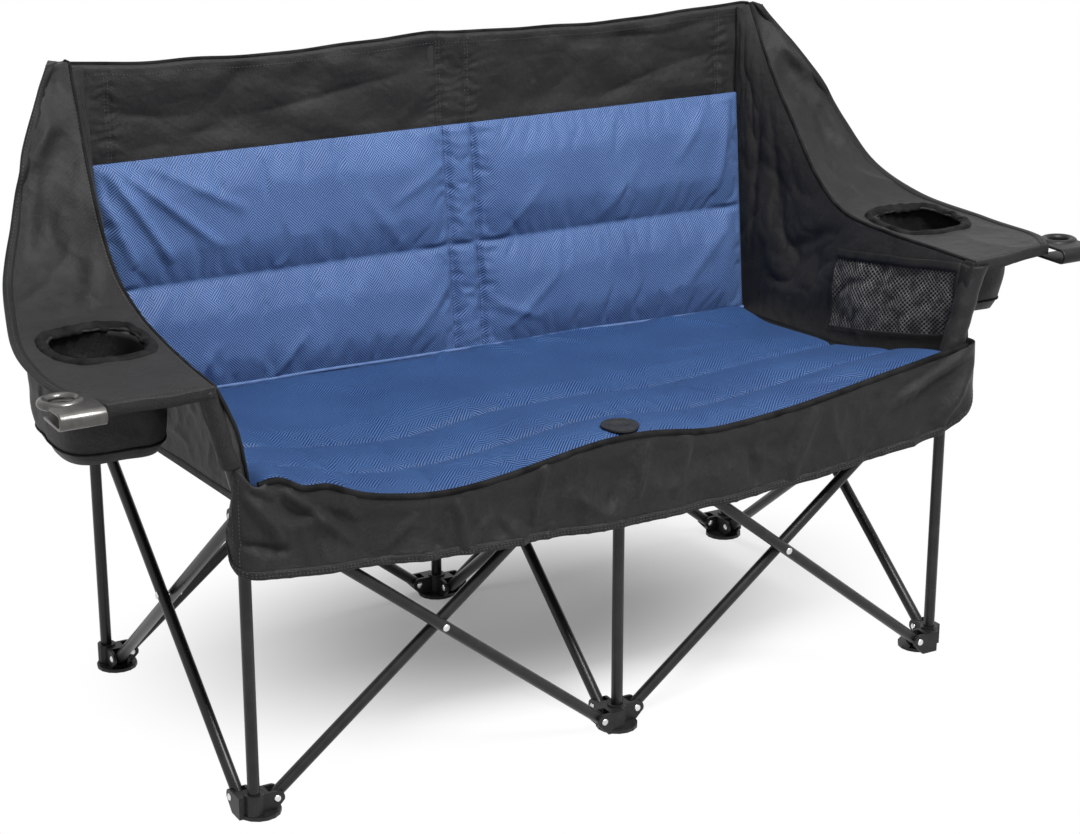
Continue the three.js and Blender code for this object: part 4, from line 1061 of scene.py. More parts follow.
backFront, backRear, backSewn = backGrids()
backFront = puffUp("back", backFront, backRear, backSewn, back["push"])
firstSeam = back["fieldColumns"] - 1
backSeams = [backFront[:, column].copy() for column in (firstSeam, firstSeam + back["stripColumns"] - 1)]
backFront, backRear, backFlat = refine(backFront), refine(backRear), refine(backFront[..., [0, 2]])
x, y, z = (backFront[..., k] for k in range(3))
for seed, offset in zip(back["sink"]["seeds"], (-back["stitchHalf"], back["stitchHalf"])):
    y += seamSink(x - stitchMiddle(z) - offset, z, x, z, back["sink"], seed)
y -= creased(x, z, back["creases"]) * filled(z, backRows, back["tuck"])
backPad = padPiece("back_quilt", backFront, backRear, backFlat, blueCloth, blackCloth, gridNormals(backFront))
dress(backPad, None, "back_middle_post", "blue_quilt", stands=["back_pad"], fold="back")
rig.padded(backPad, fill=0.55)
for line in backSeams:
    facing = np.tile((0.0, -1.0, 0.0), (len(line), 1))
    sew("back_stitches", line - facing * back["threadSunk"], facing, length=3.4, width=2.0)
makeStitches("back_stitches", blueThread, "back_middle_post", "blue_quilt", "back")
seamXs = np.linspace(-back["half"] + 2, back["half"] - 2, 160)
seamZs = mix(*back["pipingZ"], (seamXs + back["half"]) / (2 * back["half"])) + 1.2 * slack(seamXs, seamXs * 0, 260, 8)
seamLine = np.stack([seamXs, np.full_like(seamXs, back["pipingY"]), seamZs], axis=1)
dress(rodAlong("seat_back_piping", seamLine, back["piping"]), bluePiping, "back_middle_post", "blue_quilt", fold="back")
print("back quilted")

# top band: doubled cloth over the back posts, sewn down either side of each post
band = {
    "half": 553.0, "foot": 735.0, "ceiling": 875.5, "front": 260.0, "rear": 280.0, "thick": 2.6,
    "sag": 8.5, "pinch": 4.0, "leftRise": 5.0, "round": 4.0, "crown": 0.6, "piping": 2.8, "pipingOut": 1.5,
    "rows": 40, "topRows": 13, "rearRows": 30, "columns": 330, "sewnRows": (37, 2),
    "folds": [(slack, 2.6, 1, 110, 21), (crumple, 4.0, 0.4, 150, 22), (crumple, 1.0, 0.6, 62, 23)],
    "groove": 3.6, "grooveDeep": 2.4, "pucker": 15.0, "puckerDeep": 0.9, "puckerPeriod": 15.0,
    "sews": [(-499, -499), (-493, -493), (8, 7), (14, 13), (54, 53), (60, 59), (492, 492), (498, 498)],
}


def bandGrid():
    radius, middle = (band["rear"] - band["front"]) / 2, (band["rear"] + band["front"]) / 2
    crown = radius * band["crown"]
    shoulder = band["ceiling"] - crown
    turning = np.linspace(0, math.pi, band["topRows"])[1:-1]
    profile = [(band["front"], mix(band["foot"], shoulder, t)) for t in np.linspace(0, 1, band["rows"])]
    profile += [(middle - radius * math.cos(t), shoulder + crown * math.sin(t)) for t in turning]
    profile += [(band["rear"], mix(shoulder, band["foot"], t)) for t in np.linspace(0, 1, band["rearRows"])]
    y, z = (np.array(side)[:, None] for side in zip(*profile))
    xs = np.linspace(-band["half"], band["half"], band["columns"])
    x = np.broadcast_to(xs, (len(y), len(xs)))
    between = np.abs(np.sin(math.pi * xs / chair["spacing"]))
    height = (z - band["foot"]) / (band["ceiling"] - band["foot"])

    def bySews(width):
        return sum(np.exp(-((x - mix(a, b, height)) / width) ** 2) for a, b in band["sews"])

    puckers = np.sin(z * math.tau / band["puckerPeriod"] + 2 * slack(x, z, 60, 24))
    puckers = puckers * np.minimum(1, bySews(band["pucker"]))
    puckers = puckers * smooth(0.02, 0.12, height) * (1 - smooth(0.8, 0.95, height))
    drawn = band["grooveDeep"] * bySews(band["groove"]) + band["puckerDeep"] * puckers
    drawn = drawn + band["pinch"] * between * smooth(0, 0.25, height)
    folds = rumpled(x, z, band["folds"]) * smooth(0.0, 0.2, height) * smooth(-1.0, -0.8, -height)
    y = y - drawn * (y - middle) / radius + folds
    past = np.maximum(0, np.abs(x) - (band["half"] - band["round"]))
    rounding = band["round"] - np.sqrt(np.maximum(0, band["round"] ** 2 - past ** 2))
    z = z + (1.2 * slack(x, x * 0, 150, 5) - rounding) * smooth(0.6, 1.0, height)
    z = z + (band["leftRise"] * smooth(380, band["half"], -x) - band["sag"] * between) * smooth(0.5, 1.0, height)
    return np.stack([x, y, z], axis=-1)


bandCloth = bandGrid()
bandPiece = blackSheet("back_top_band", bandCloth, band["thick"], "back_middle_post", "back_band", "back")
bandNormal = gridNormals(bandCloth)
bandNormal = turnedTo(bandNormal, bandNormal[:band["rows"], :, 1], -1)


# values of a grid where a line of x runs up the front of the band
def bandLine(grid, seam):
    return np.array([[np.interp(x, known, row[:, k]) for k in range(3)]
                     for x, known, row in zip(seam, bandCloth[..., 0], grid)])


seams = [mix(a, b, np.linspace(0, 1, band["rows"])) for a, b in band["sews"]]
runs = [(bandLine(bandCloth, seam), bandLine(bandNormal, seam)) for seam in seams]
for line, out in runs + [(bandCloth[row], bandNormal[row]) for row in band["sewnRows"]]:
    sew("band_stitches", line, out, lift=band["thick"] / 2 + 0.3)
makeStitches("band_stitches", blackThread, "back_middle_post", "black_cloth", "back")
topRow = band["rows"] + 4
topLine = bandCloth[topRow] + bandNormal[topRow] * band["pipingOut"]
trim(rodAlong("band_top_piping", topLine, band["piping"]), blackPiping, "back_middle_post", "back")
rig.sheet(bandPiece, held="stretched", rests_on=["back_left_post", "back_middle_post", "back_right_post"],
         with_pieces=["band_stitches", "band_top_piping"], **flatSize(bandCloth))

# sleeve of the middle post behind the pad
sleeve = {"half": 16.25, "rear": 282.0, "low": 440.0, "high": 741.0, "thick": 2.0, "rows": 60, "columns": 25}


def sleeveGrid():
    zs = np.linspace(sleeve["low"], sleeve["high"], sleeve["rows"])[:, None]
    turn = np.linspace(0, math.pi, sleeve["columns"])[None, :]
    start = backLine(zs) + back["lining"] + 0.5
    deep = sleeve["rear"] - start
    loose = 1 + 0.05 * slack(zs, turn * 20, 60, 15)
    x = -sleeve["half"] * np.cos(turn) * (1 + 0.6 * (1 - np.sin(turn)) ** 3) * loose
    y = start + deep * np.sin(turn) ** 0.7
    return np.stack(np.broadcast_arrays(x, y, zs), axis=-1)


sleeveCloth = sleeveGrid()
sleevePiece = blackSheet("back_post_sleeve", sleeveCloth, sleeve["thick"], "back_middle_post", "back_sleeve", "back")
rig.sheet(sleevePiece, held="stretched", rests_on=["back_middle_post"], **flatSize(sleeveCloth))
print("band and sleeve sewn")

# front skirt: hangs from the seat's front edge and turns back round the corner posts
skirt = {
    "line": -296.3, "side": 553.0, "corner": 24.0, "back": (3.0, 6.0), "foot": 306.0, "lift": 32.0,
    "round": (34.0, 104.0), "tab": 20.0, "thick": 2.6, "binding": (11.0, 4.0), "edgeRod": 4.4,
    "rows": 34, "columns": 300, "waves": 9, "waveOut": 5.0, "tuck": 3.0, "floor": -6.0,
    "sewnRows": (-3, -2), "sewnColumns": (3, 5, -4, -6),
    "creases": [((-556, 466), (-430, 406), 7, 9.0), ((-549, 456), (-498, 376), 6, 9.0),
                ((-552, 386), (-490, 363), 6, -8.1), ((-482, 444), (-366, 343), 9, -10.8),
                ((-500, 446), (-392, 352), 7, 9.0), ((-520, 456), (-450, 396), 6, -7.2),
                ((-360, 338), (-312, 380), 8, 7.2), ((-400, 418), (-300, 390), 7, -7.2),
                ((-259, 390), (-245, 318), 6, 8.1), ((-272, 384), (-288, 326), 6, -7.2),
                ((-205, 394), (-191, 322), 7, -7.2), ((-130, 414), (-145, 330), 6, 9.0),
                ((-102, 414), (-117, 326), 6, -9.0), ((-62, 414), (-68, 326), 8, 6.3),
                ((-13, 420), (-29, 336), 6, -8.1), ((27, 420), (8, 338), 7, 8.1), ((94, 416), (66, 332), 9, 7.2),
                ((180, 412), (205, 322), 8, -6.3), ((300, 420), (260, 320), 10, 7.2),
                ((550, 462), (400, 390), 8, 9.0), ((555, 455), (480, 350), 8, 10.8),
                ((570, 440), (540, 345), 8, -2.7)],
}


def seatEdgeAt(x):
    return seatEdgeHeight(np.clip(x, -seat["half"], seat["half"]))


def skirtGrid():
    straight = skirt["side"] - skirt["corner"]
    bend = skirt["corner"] * math.pi / 2
    ends = [straight + bend + more for more in skirt["back"]]
    far = np.linspace(-ends[0], ends[1], skirt["columns"])
    side, along = np.sign(far), np.abs(far)
    reach, rounding = (np.where(far < 0, *pair) for pair in (ends, skirt["round"]))
    turn = np.clip((along - straight) / skirt["corner"], 0, math.pi / 2)
    outX, outY = side * np.sin(turn), -np.cos(turn)
    x = side * np.minimum(along, straight) + skirt["corner"] * outX
    y = skirt["line"] + skirt["corner"] * (1 + outY) + np.maximum(0, along - straight - bend)
    top = seatEdgeAt(x) + 2.0 + skirt["tab"] * smooth(532, 552, -x)
    foot = skirt["foot"] + skirt["lift"] * np.minimum(1, (x / chair["spacing"]) ** 2)
    inset = np.maximum(0, along - (reach - rounding))
    foot = foot + rounding - np.sqrt(np.maximum(0, rounding ** 2 - inset ** 2))
    down = np.linspace(0, 1, skirt["rows"])[:, None]
    z = mix(top, foot, down)
    hang = 4.0 * slack(far, z, 190, 31) * smooth(0, 0.4, down)
    hang = hang + 5.0 * crumple(far, z * 0.7, 120, 33) * smooth(0, 0.3, down)
    hang = hang + 2.0 * crumple(far, z, 56, 35) * smooth(0, 0.2, down)
    hang = hang + 1.6 * slack(far * 2.2, z * 0.25, 60, 34) * (1 - smooth(0.05, 0.5, down)) * smooth(0, 0.06, down)
    hang = hang + skirt["waveOut"] * down * np.sin(math.pi * skirt["waves"] * far / (2 * skirt["side"])) ** 2
    hang = hang + creased(far, z, skirt["creases"])
    tuck = skirt["tuck"] * np.sin(math.pi * down) ** 2 * (1 - smooth(350, 520, along))
    out = np.maximum(hang * (1 - smooth(505, 555, far)) - tuck, skirt["floor"] * smooth(0.12, 0.4, down))
    return easeCorner(np.stack(np.broadcast_arrays(x + outX * out, y + outY * out, z), axis=-1))


skirtCloth = skirtGrid()
skirtPiece = blackSheet("seat_skirt", skirtCloth, skirt["thick"], "front_middle_post", "front_skirt", "skirt")
trim(edging("skirt_hem", skirtCloth, "last", *skirt["binding"]), blackCloth, "front_middle_post", "skirt")
skirtNormal = gridNormals(skirtCloth)
skirtNormal = turnedTo(skirtNormal, skirtNormal[..., 1], -1)
for row in skirt["sewnRows"]:
    sew("skirt_stitches", skirtCloth[row], skirtNormal[row], lift=2.2)
for column in skirt["sewnColumns"]:
    sew("skirt_stitches", skirtCloth[2:-2, column], skirtNormal[2:-2, column], lift=1.5)
makeStitches("skirt_stitches", blackThread, "front_middle_post", "black_cloth", "skirt")
edgeXs = np.linspace(-seat["half"] - 2, seat["half"] + 2, 240)
edgeLine = np.stack([edgeXs, np.full_like(edgeXs, seat["front"] - 1.0), seatEdgeAt(edgeXs) + 1.0], axis=1)
trim(rodAlong("seat_edge_binding", easeCorner(edgeLine), skirt["edgeRod"], 5), blackPiping, "front_middle_post", "edge")
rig.sheet(skirtPiece, held="hung", rests_on=["seat_front_edge", "seat_edge_binding"],
         with_pieces=["skirt_hem", "skirt_stitches"], **flatSize(skirtCloth))
print("skirt hung")


# sides: wing and arm in one cloth, and the panel between the seam and the seat
side = {
    "spread": 208.0, "wingTop": 877.0, "hollow": 9.0, "hollowEnd": 0.8, "thick": 2.8, "binding": (12.0, 4.6),
    "strip": (17.0, 5.0), "footHem": (11.0, 4.4), "seamRod": 2.6,
    "wingColumns": 170, "wingRows": 34, "panelColumns": 190, "panelRows": 52, "footFrom": 73, "armFrom": 0.42,
    "leftOut": 15.0, "leftElbow": 8.0, "leftRise": 8.0, "rightFoot": 22.0, "rightLift": 10.0,
    "panelX": 528.3, "backShare": 0.45, "rearFoot": 388.0, "frontFoot": 414.0, "gap": 2.6,
    "tuckSeam": (550.0, 262.0, 878.0), "tuckHem": (553.0, 277.0, 876.0), "tuckColumns": 6,
    "wingFolds": [(slack, 3.0, 1, 150, 61), (crumple, 5.0, 1, 150, 63), (crumple, 1.8, 1, 64, 64)],
    "earFolds": [(slack, 2.0, 1, 70, 62)],
    "panelFolds": [(slack, 3.6, 1, 160, 71), (crumple, 5.0, 1, 150, 72), (crumple, 1.8, 1, 66, 73)],
    "wingCreases": [((-300, 20), (-60, 110), 12, 6.4), ((-260, 10), (-120, 150), 10, 4.8),
                    ((-60, 20), (40, 60), 10, 4.8), ((-420, 10), (-330, 60), 9, 4.8)],
    "panelCreases": [((-250, 40), (-90, 210), 14, 6.4), ((-200, 20), (-60, 120), 11, 4.8),
                     ((60, 20), (-30, 130), 11, 4.8)],
    "seam": [(0.038, 0.965, 1), (0.067, 0.861, 0.67), (0.096, 0.75, 0.393), (0.101, 0.639, 0.172),
             (0.087, 0.51, 0.05), (0.115, 0.315, 0.012), (0.149, 0.12, 0.004), (0.163, -0.03, 0)],
    "hem": [(0.13, 0.955, 0.99), (0.423, 0.854, 0.67), (0.62, 0.794, 0.393), (0.755, 0.717, 0.186),
            (0.856, 0.546, 0.065), (0.986, 0.315, 0.014), (0.981, 0.1, -0.004), (0.817, -0.02, -0.01)],
}


# centripetal curve through points, spaced evenly from point to point
def passThrough(points, shares):
    points = np.asarray(points, float)
    padded = np.concatenate([2 * points[:1] - points[1:2], points, 2 * points[-1:] - points[-2:-1]])
    place = np.clip(shares, 0, 1) * (len(points) - 1)
    i = np.minimum(place.astype(int), len(points) - 2)
    t = (place - i)[:, None]
    p0, p1, p2, p3 = (padded[i + k] for k in range(4))
    d0, d1, d2 = (np.maximum(np.linalg.norm(b - a, axis=1, keepdims=True) ** 0.5, 1e-4)
                  for a, b in ((p0, p1), (p1, p2), (p2, p3)))
    t1 = ((p1 - p0) / d0 - (p2 - p0) / (d0 + d1) + (p2 - p1) / d1) * d1
    t2 = ((p2 - p1) / d1 - (p3 - p1) / (d1 + d2) + (p3 - p2) / d2) * d1
    return p1 + t1 * t + (3 * (p2 - p1) - 2 * t1 - t2) * t ** 2 + (2 * (p1 - p2) + t1 + t2) * t ** 3


def wingCurve(key, shares):
    points = [(chair["spacing"] + side["spread"] * out, mix(chair["frontY"], chair["backY"], along),
               mix(chair["armTop"], side["wingTop"], up)) for out, along, up in side[key]]
    return passThrough(points, shares)


def wingGrid():
    u = np.linspace(0, 1, side["wingColumns"])
    v = np.linspace(0, 1, side["wingRows"])[:, None]
    seam, hem = wingCurve("seam", u)[None], wingCurve("hem", u)[None]
    grid = mix(seam, hem, v[..., None])
    along = np.minimum(1, u / side["hollowEnd"])[None, :]
    grid[..., 1] += side["hollow"] * np.sin(math.pi * v) * np.sin(math.pi * along)
    tuck = mix(np.array(side["tuckSeam"]), np.array(side["tuckHem"]), v)[:, None]
    lead = np.linspace(0, 1, side["tuckColumns"] + 1)[None, :-1, None]
    wing = np.concatenate([mix(tuck, grid[:, :1], lead), grid], axis=1)
    return wing, np.concatenate([np.zeros(side["tuckColumns"]), u]), v


def panelRim(u):
    first = u < side["backShare"]
    z1 = mix(side["wingTop"], side["rearFoot"], u / side["backShare"])
    face = np.where(z1 > back["top"], band["front"] - 1.5, backLine(z1) + 7.0)
    forward = (u - side["backShare"]) / (1 - side["backShare"])
    y2 = mix(back["footY"] - back["seam"] - side["gap"], chair["frontY"], forward)
    z2 = mix(side["rearFoot"], side["frontFoot"], forward)
    y, z = np.where(first, face - side["gap"], y2), np.where(first, z1, z2)
    return np.stack([np.full_like(u, side["panelX"]), y, z], axis=-1)


def panelGrid():
    u = np.linspace(0, 1, side["panelColumns"])
    v = np.linspace(0, 1, side["panelRows"])[:, None]
    top, rim = wingCurve("seam", u)[None], panelRim(u)[None]
    rise = (1 - v)[..., None]
    grid = mix(rim, top, rise)
    grid[..., 0] = mix(rim[..., 0], top[..., 0], rise[..., 0] ** 2)
    return grid, u, v


# the value at wanted places from a cloud of points: that of the nearest few, weighted
def nearest(known, values, wanted, few=4, batch=400):
    out = np.empty(len(wanted))
    for start in range(0, len(wanted), batch):
        gap = np.linalg.norm(wanted[start:start + batch, None] - known[None], axis=2)
        close = np.argpartition(gap, few, axis=1)[:, :few]
        weight = 1 / (np.take_along_axis(gap, close, axis=1) + 1e-3) ** 2
        out[start:start + batch] = (values[close] * weight).sum(1) / weight.sum(1)
    return out


def flipped(grid, sign):
    return grid * np.array((sign, 1.0, 1.0))


# a ring between a circle and a square
def squaredRing(count, square):
    turn = np.linspace(0, 2 * math.pi, count + 1)[:-1]
    c, s = np.cos(turn), np.sin(turn)
    bulge = (np.abs(c) ** square + np.abs(s) ** square) ** (-1 / square)
    return turn, c * bulge, s * bulge


# arm: a hole for the cup with a gathered rim, and a deep front hem
arm = {"cup": (642.0, -72.0), "hole": 57.0, "square": 3.0, "rim": 15.0, "rimOut": 7.0, "roll": 6.0, "hem": (14.0, 5.0),
       "rimColumns": 180, "rimRows": 12}


def cupRim(armHeight, sign, name):
    turn, ringX, ringY = squaredRing(arm["rimColumns"], arm["square"])
    gathers = np.sin(9 * turn + 1.9 * np.sin(2 * turn + 0.5)) + 0.5 * np.sin(23 * turn + 2.0 * np.sin(turn))
    rows = []
    for around in np.linspace(0, 2 * math.pi, arm["rimRows"] + 1)[:-1]:
        pucker = 1.8 * gathers * (1.2 - math.cos(around)) / 2 + 1.5 * np.sin(3 * turn + 0.6)
        radius = arm["hole"] + arm["rimOut"] + arm["rim"] / 2 * math.cos(around) + pucker
        x, y = arm["cup"][0] + radius * ringX, arm["cup"][1] + radius * ringY
        lift = arm["roll"] * math.sin(around) + 0.9 * gathers * max(0, math.sin(around))
        rows.append(np.stack([x, y, armHeight(x, y) + lift - 0.8], axis=-1))
    points = flipped(np.stack(rows), sign).reshape(-1, 3)
    faces = gridFaces(len(rows) + 1, len(turn), wrap=True) % len(points)
    cut = np.stack(np.broadcast_arrays(turn[None, :] * arm["hole"], np.arange(len(rows))[:, None] * 3.0), axis=-1)
    return faceOut(makePiece(name, points, faces, cut.reshape(-1, 2)))


def wingShape(sign):
    wing, u, v = wingGrid()
    a, b = np.moveaxis(flatCut(wing), -1, 0)
    normal = gridNormals(wing)
    if sign < 0:
        elbow = side["leftElbow"] * np.exp(-((u - 0.6) / 0.12) ** 2)
        wing[..., 0] += v * (side["leftOut"] * (1 - smooth(0.08, 0.32, u)) + elbow)
        wing[..., 2] += side["leftRise"] * (1 - smooth(0.0, 0.12, u))
    else:
        wing[..., 2] += side["rightLift"] * smooth(0.72, 1.0, u) * v
    loose = rumpled(a, b, side["wingFolds"]) + rumpled(a, b, side["earFolds"]) * (1 - smooth(0.35, 0.6, u))
    loose = loose * np.sin(math.pi * v) + creased(a, b, side["wingCreases"])
    calmer = 1 - 0.5 * smooth(0.55, 0.7, u)
    return flipped(wing + normal * (loose * calmer)[..., None], sign), u


def wingSet(hand, sign, body):
    wing, u = wingShape(sign)
    plan = flipped(wing[:, u > side["armFrom"]].reshape(-1, 3), sign)
    cup = np.array(arm["cup"])

    def armHeight(x, y):
        return nearest(plan[:, :2], plan[:, 2], np.stack([np.ravel(x), np.ravel(y)], axis=1)).reshape(np.shape(x))

    def aroundHole(points, faces):
        mirrored = np.array((sign, 1))
        away = points[:, :2] * mirrored - cup
        ring = (np.abs(away / arm["hole"]) ** arm["square"]).sum(1) ** (1 / arm["square"])
        inside = (ring < 1) & (points[:, 2] < chair["armTop"] + 60)
        moved = points.copy()
        moved[inside, :2] = (cup + away[inside] / np.maximum(ring[inside, None], 0.2)) * mirrored
        return moved, faces[~inside[faces].all(1)]

    wingPiece = blackSheet(f"{hand}_wing_cloth", wing, side["thick"], body, f"{hand}_arm_wing", "side", keep=aroundHole)
    rim = trim(cupRim(armHeight, sign, f"{hand}_cup_rim"), blackPiping, body, "side")
    hem = trim(edging(f"{hand}_wing_binding", wing, "last", *side["binding"]), bindingCloth, body, "side")
    frontLine = wing[:, -1] + np.array((0, -0.5, 1.0))
    down, ahead = (np.tile(way, (len(frontLine), 1)) for way in ((0.0, 0.05, -1.0), (0.0, -1.0, 0.0)))
    frontHem = bindEdge(f"{hand}_arm_front_hem", frontLine, down, ahead, *arm["hem"])
    trim(frontHem, blackCloth, body, "side")
    normal = gridNormals(wing)
    normal = turnedTo(normal, normal[:, u > side["armFrom"], 2], 1)
    onCloth = side["thick"] / 2 + 0.3
    for part, lift in ((np.s_[-2], 2.6), (np.s_[1], onCloth), (np.s_[1:-1, -4], onCloth)):
        sew(f"{hand}_side_stitches", wing[part], normal[part], lift=lift)
    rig.sheet(wingPiece, held="stretched", rests_on=[f"{body}_tube", "back_top_band"], with_pieces=[rim, hem, frontHem],
             **flatSize(wing))
    return wing, armHeight


def panelSet(hand, sign, body, wing):
    panel, u, v = panelGrid()
    if sign > 0:
        panel[..., 0] += side["rightFoot"] * smooth(0.88, 1.0, u) * smooth(0.4, 1.0, v)
    a, b = np.moveaxis(flatCut(panel), -1, 0)
    bend = rumpled(a, b, side["panelFolds"]) + creased(a, b, side["panelCreases"])
    bend = bend * np.sin(math.pi * v) * np.sin(math.pi * np.clip(u - 0.02, 0, 1)) ** 0.5
    panel = panel + gridNormals(panel) * bend[..., None]
    if sign > 0:
        panel = easeCorner(panel)
    shown = flipped(panel, sign)
    panelPiece = blackSheet(f"{hand}_panel_cloth", shown, side["thick"], body, f"{hand}_side_panel", "side")
    seamRod = trim(rodAlong(f"{hand}_arm_seam", wing[0], side["seamRod"]), blackPiping, body, "side")
    strip = trim(edging(f"{hand}_panel_front_binding", shown, "end", *side["strip"]), bindingCloth, body, "side")
    foot = edging(f"{hand}_panel_foot_hem", shown[:, side["footFrom"]:], "last", *side["footHem"])
    trim(foot, bindingCloth, body, "side")
    makeStitches(f"{hand}_side_stitches", blackThread, body, "black_cloth", "side")
    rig.sheet(panelPiece, held="hung", rests_on=[f"{hand}_arm_seam", "seat_front_edge"],
             with_pieces=[seamRod, strip, foot], **flatSize(shown))
    return panel


# cup pouch: a bag below the hole in the arm
pouch = {"centre": (656.0, -104.0), "half": (72.0, 95.0), "shrink": 6.0, "belly": 5.0, "square": 3.0, "floor": 479.0,
         "sag": 6.0, "thick": 2.4, "columns": 120, "rows": 16, "seamRow": 13, "seamOut": 1.6, "seamRod": 1.7,
         "rings": (0.1, 0.3, 0.55, 0.8, 0.97)}


def pouchGrid(armHeight):
    turn, ringX, ringY = squaredRing(pouch["columns"], pouch["square"])
    foot = pouch["floor"] + 3.0 * slack(turn * 60, turn * 0, 120, 46)
    rows = []
    for down in np.linspace(0, 1, pouch["rows"]):
        narrow = pouch["shrink"] * down - pouch["belly"] * (math.sin(math.pi * down) - max(0.0, down - 0.85) / 0.15)
        loose = 1.6 * slack(turn * 60, down * 120 + turn * 0, 55, 44) * math.sin(math.pi * min(1, down + 0.1))
        x = pouch["centre"][0] + (pouch["half"][0] - narrow + loose) * ringX
        y = pouch["centre"][1] + (pouch["half"][1] - narrow + loose) * ringY
        rows.append(np.stack([x, y, mix(armHeight(x, y) - 2.4, foot, down)], axis=-1))
    last = rows[-1]
    middle = last.mean(0) - np.array((0, 0, pouch["sag"]))
    for inward in pouch["rings"]:
        ring = mix(last, middle, inward)
        ring[:, 2] = mix(last[:, 2], middle[2], math.sqrt(inward * (2 - inward)))
        rows.append(ring)
    return np.stack(rows)


def pouchSet(hand, sign, body, armHeight):
    bag = flipped(pouchGrid(armHeight), sign)
    cut = flatCut(looped(bag))[:, :-1]
    pouchPiece = faceOut(clothSheet(f"{hand}_pouch_cloth", bag, pouch["thick"], wrap=True, cut=cut))
    dress(pouchPiece, blackCloth, body, "black_cloth", stands=[f"{hand}_cup_pouch"], fold="side")
    seam = bag[pouch["seamRow"]]
    ring = np.concatenate([seam, seam[:2]])
    ring = ring + unit(ring - seam.mean(0)) * pouch["seamOut"]
    pouchSeam = trim(rodAlong(f"{hand}_pouch_seam", ring, pouch["seamRod"], 3), blackPiping, body, "side")
    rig.sheet(pouchPiece, held="hung", rests_on=[f"{hand}_wing_cloth"], with_pieces=[pouchSeam], **flatSize(looped(bag)))


# net pocket on the inside of the panel, with a bound edge all round
net = {"front": -264.0, "rear": -8.0, "foot": (470.0, 426.0), "top": (580.0, 546.0), "cell": 3.6, "cord": 0.8,
       "stand": 7.0, "off": 2.6,
       "edges": [("hem", "last", 13.0, 3.6), ("foot", "first", 5.0, 3.0), ("front", "start", 5.0, 3.0),
                 ("rear", "end", 5.0, 3.0)]}


def netPiece(name, panel, sign):
    known = panel.reshape(-1, 3)
    tall = max(a - b for a, b in zip(net["top"], net["foot"]))
    columns, rows = (2 * round(size / net["cell"] / 2) for size in (net["rear"] - net["front"], tall))
    i, j = np.meshgrid(np.arange(columns + 1), np.arange(rows + 1))
    along, up = i / columns, j / rows
    y = mix(net["front"], net["rear"], along)
    z = mix(mix(*net["foot"], along), mix(*net["top"], along), up)
    x = nearest(known[:, 1:], known[:, 0], np.stack([y.ravel(), z.ravel()], axis=1)).reshape(y.shape)
    bag = np.sin(math.pi * along) ** 0.6 * (0.25 + 0.75 * smooth(0, 0.5, up))
    x = x - net["off"] - net["stand"] * bag * (1 + 0.25 * slack(y, z, 70, 52))
    grid = flipped(np.stack([x, y, z], axis=-1), sign)
    index = j * (columns + 1) + i
    faces = [(index[b - 1, a], index[b, a + 1], index[b + 1, a], index[b, a - 1])
             for b in range(1, rows) for a in range(1, columns) if (a + b) % 2]
    used, inverse = np.unique(np.array(faces), return_inverse=True)
    piece = makePiece(name, grid.reshape(-1, 3)[used], inverse.reshape(-1, 4))
    wire = piece.modifiers.new("cords", "WIREFRAME")
    wire.thickness = net["cord"] * mm
    wire.use_even_offset = False
    return applyAll(piece), grid


def netSet(hand, sign, body, panel):
    mesh, grid = netPiece(f"{hand}_pocket_net", panel, sign)
    dress(mesh, netThread, body, "pocket_net", stands=[f"{hand}_mesh_pocket"], fold="side")
    trims = [trim(edging(f"{hand}_pocket_{label}", grid, edge, width, thick), bindingCloth, body, "side")
             for label, edge, width, thick in net["edges"]]
    threads = round(sum(face.area for face in mesh.data.polygons) / 2, 4)
    size = {**flatSize(grid), "area": threads}
    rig.sheet(mesh, held="stretched", rests_on=[f"{hand}_panel_cloth"], with_pieces=trims, **size)


# sleeve of the leaning front post, part of the panel
postSleeve = {"low": {"left": 476.0, "right": 452.0}, "high": 581.0, "radius": {"left": 11.5, "right": 15.0},
              "outset": {"left": 0.0, "right": 4.0}, "flare": (35.0, 0.14), "thick": 2.2, "rows": 30, "columns": 36}


def postSleeveSet(hand, sign, body):
    high, (flareRun, flare) = postSleeve["high"], postSleeve["flare"]
    leanX, leanY, leanTop = steel["lean"]
    zs = np.linspace(postSleeve["low"][hand], high, postSleeve["rows"])[:, None]
    turn = np.linspace(0, 2 * math.pi, postSleeve["columns"] + 1)[None, :-1]
    share = (zs - steel["bendHeight"]) / (leanTop - steel["bendHeight"])
    loose = 1 + 0.06 * slack(zs * 1.5, turn * 12, 60, 81) + flare * smooth(high - flareRun, high, zs)
    radius = postSleeve["radius"][hand] * loose
    x = chair["spacing"] + postSleeve["outset"][hand] + leanX * share + radius * np.cos(turn)
    y = chair["frontY"] + leanY * share + radius * np.sin(turn)
    tube = flipped(np.stack(np.broadcast_arrays(x, y, zs), axis=-1), sign)
    name = f"{hand}_arm_post_sleeve"
    piece = blackSheet(name, tube, postSleeve["thick"], body, f"{hand}_side_panel", wrap=True)
    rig.sheet(piece, held="stretched", rests_on=[f"{body}_tube"], **flatSize(looped(tube)))


for hand, sign in (("left", -1), ("right", 1)):
    body = f"front_{hand}_post"
    wing, armHeight = wingSet(hand, sign, body)
    panel = panelSet(hand, sign, body, wing)
    pouchSet(hand, sign, body, armHeight)
    netSet(hand, sign, body, panel)
    postSleeveSet(hand, sign, body)
    print(hand, "side sewn")


# glass clips: a bent plate with a stem ring
clip = {"wall": 0.004, "jaw": 0.062, "soft": 0.0016, "ring": (0.021, 0.0066), "ringSquash": (1.05, 0.95, 0.85),
        "loop": (753.0, -254.0), "cutBack": 0.002, "corners": (0.027, 0.012), "hair": 0.0005, "cutter": 0.012}


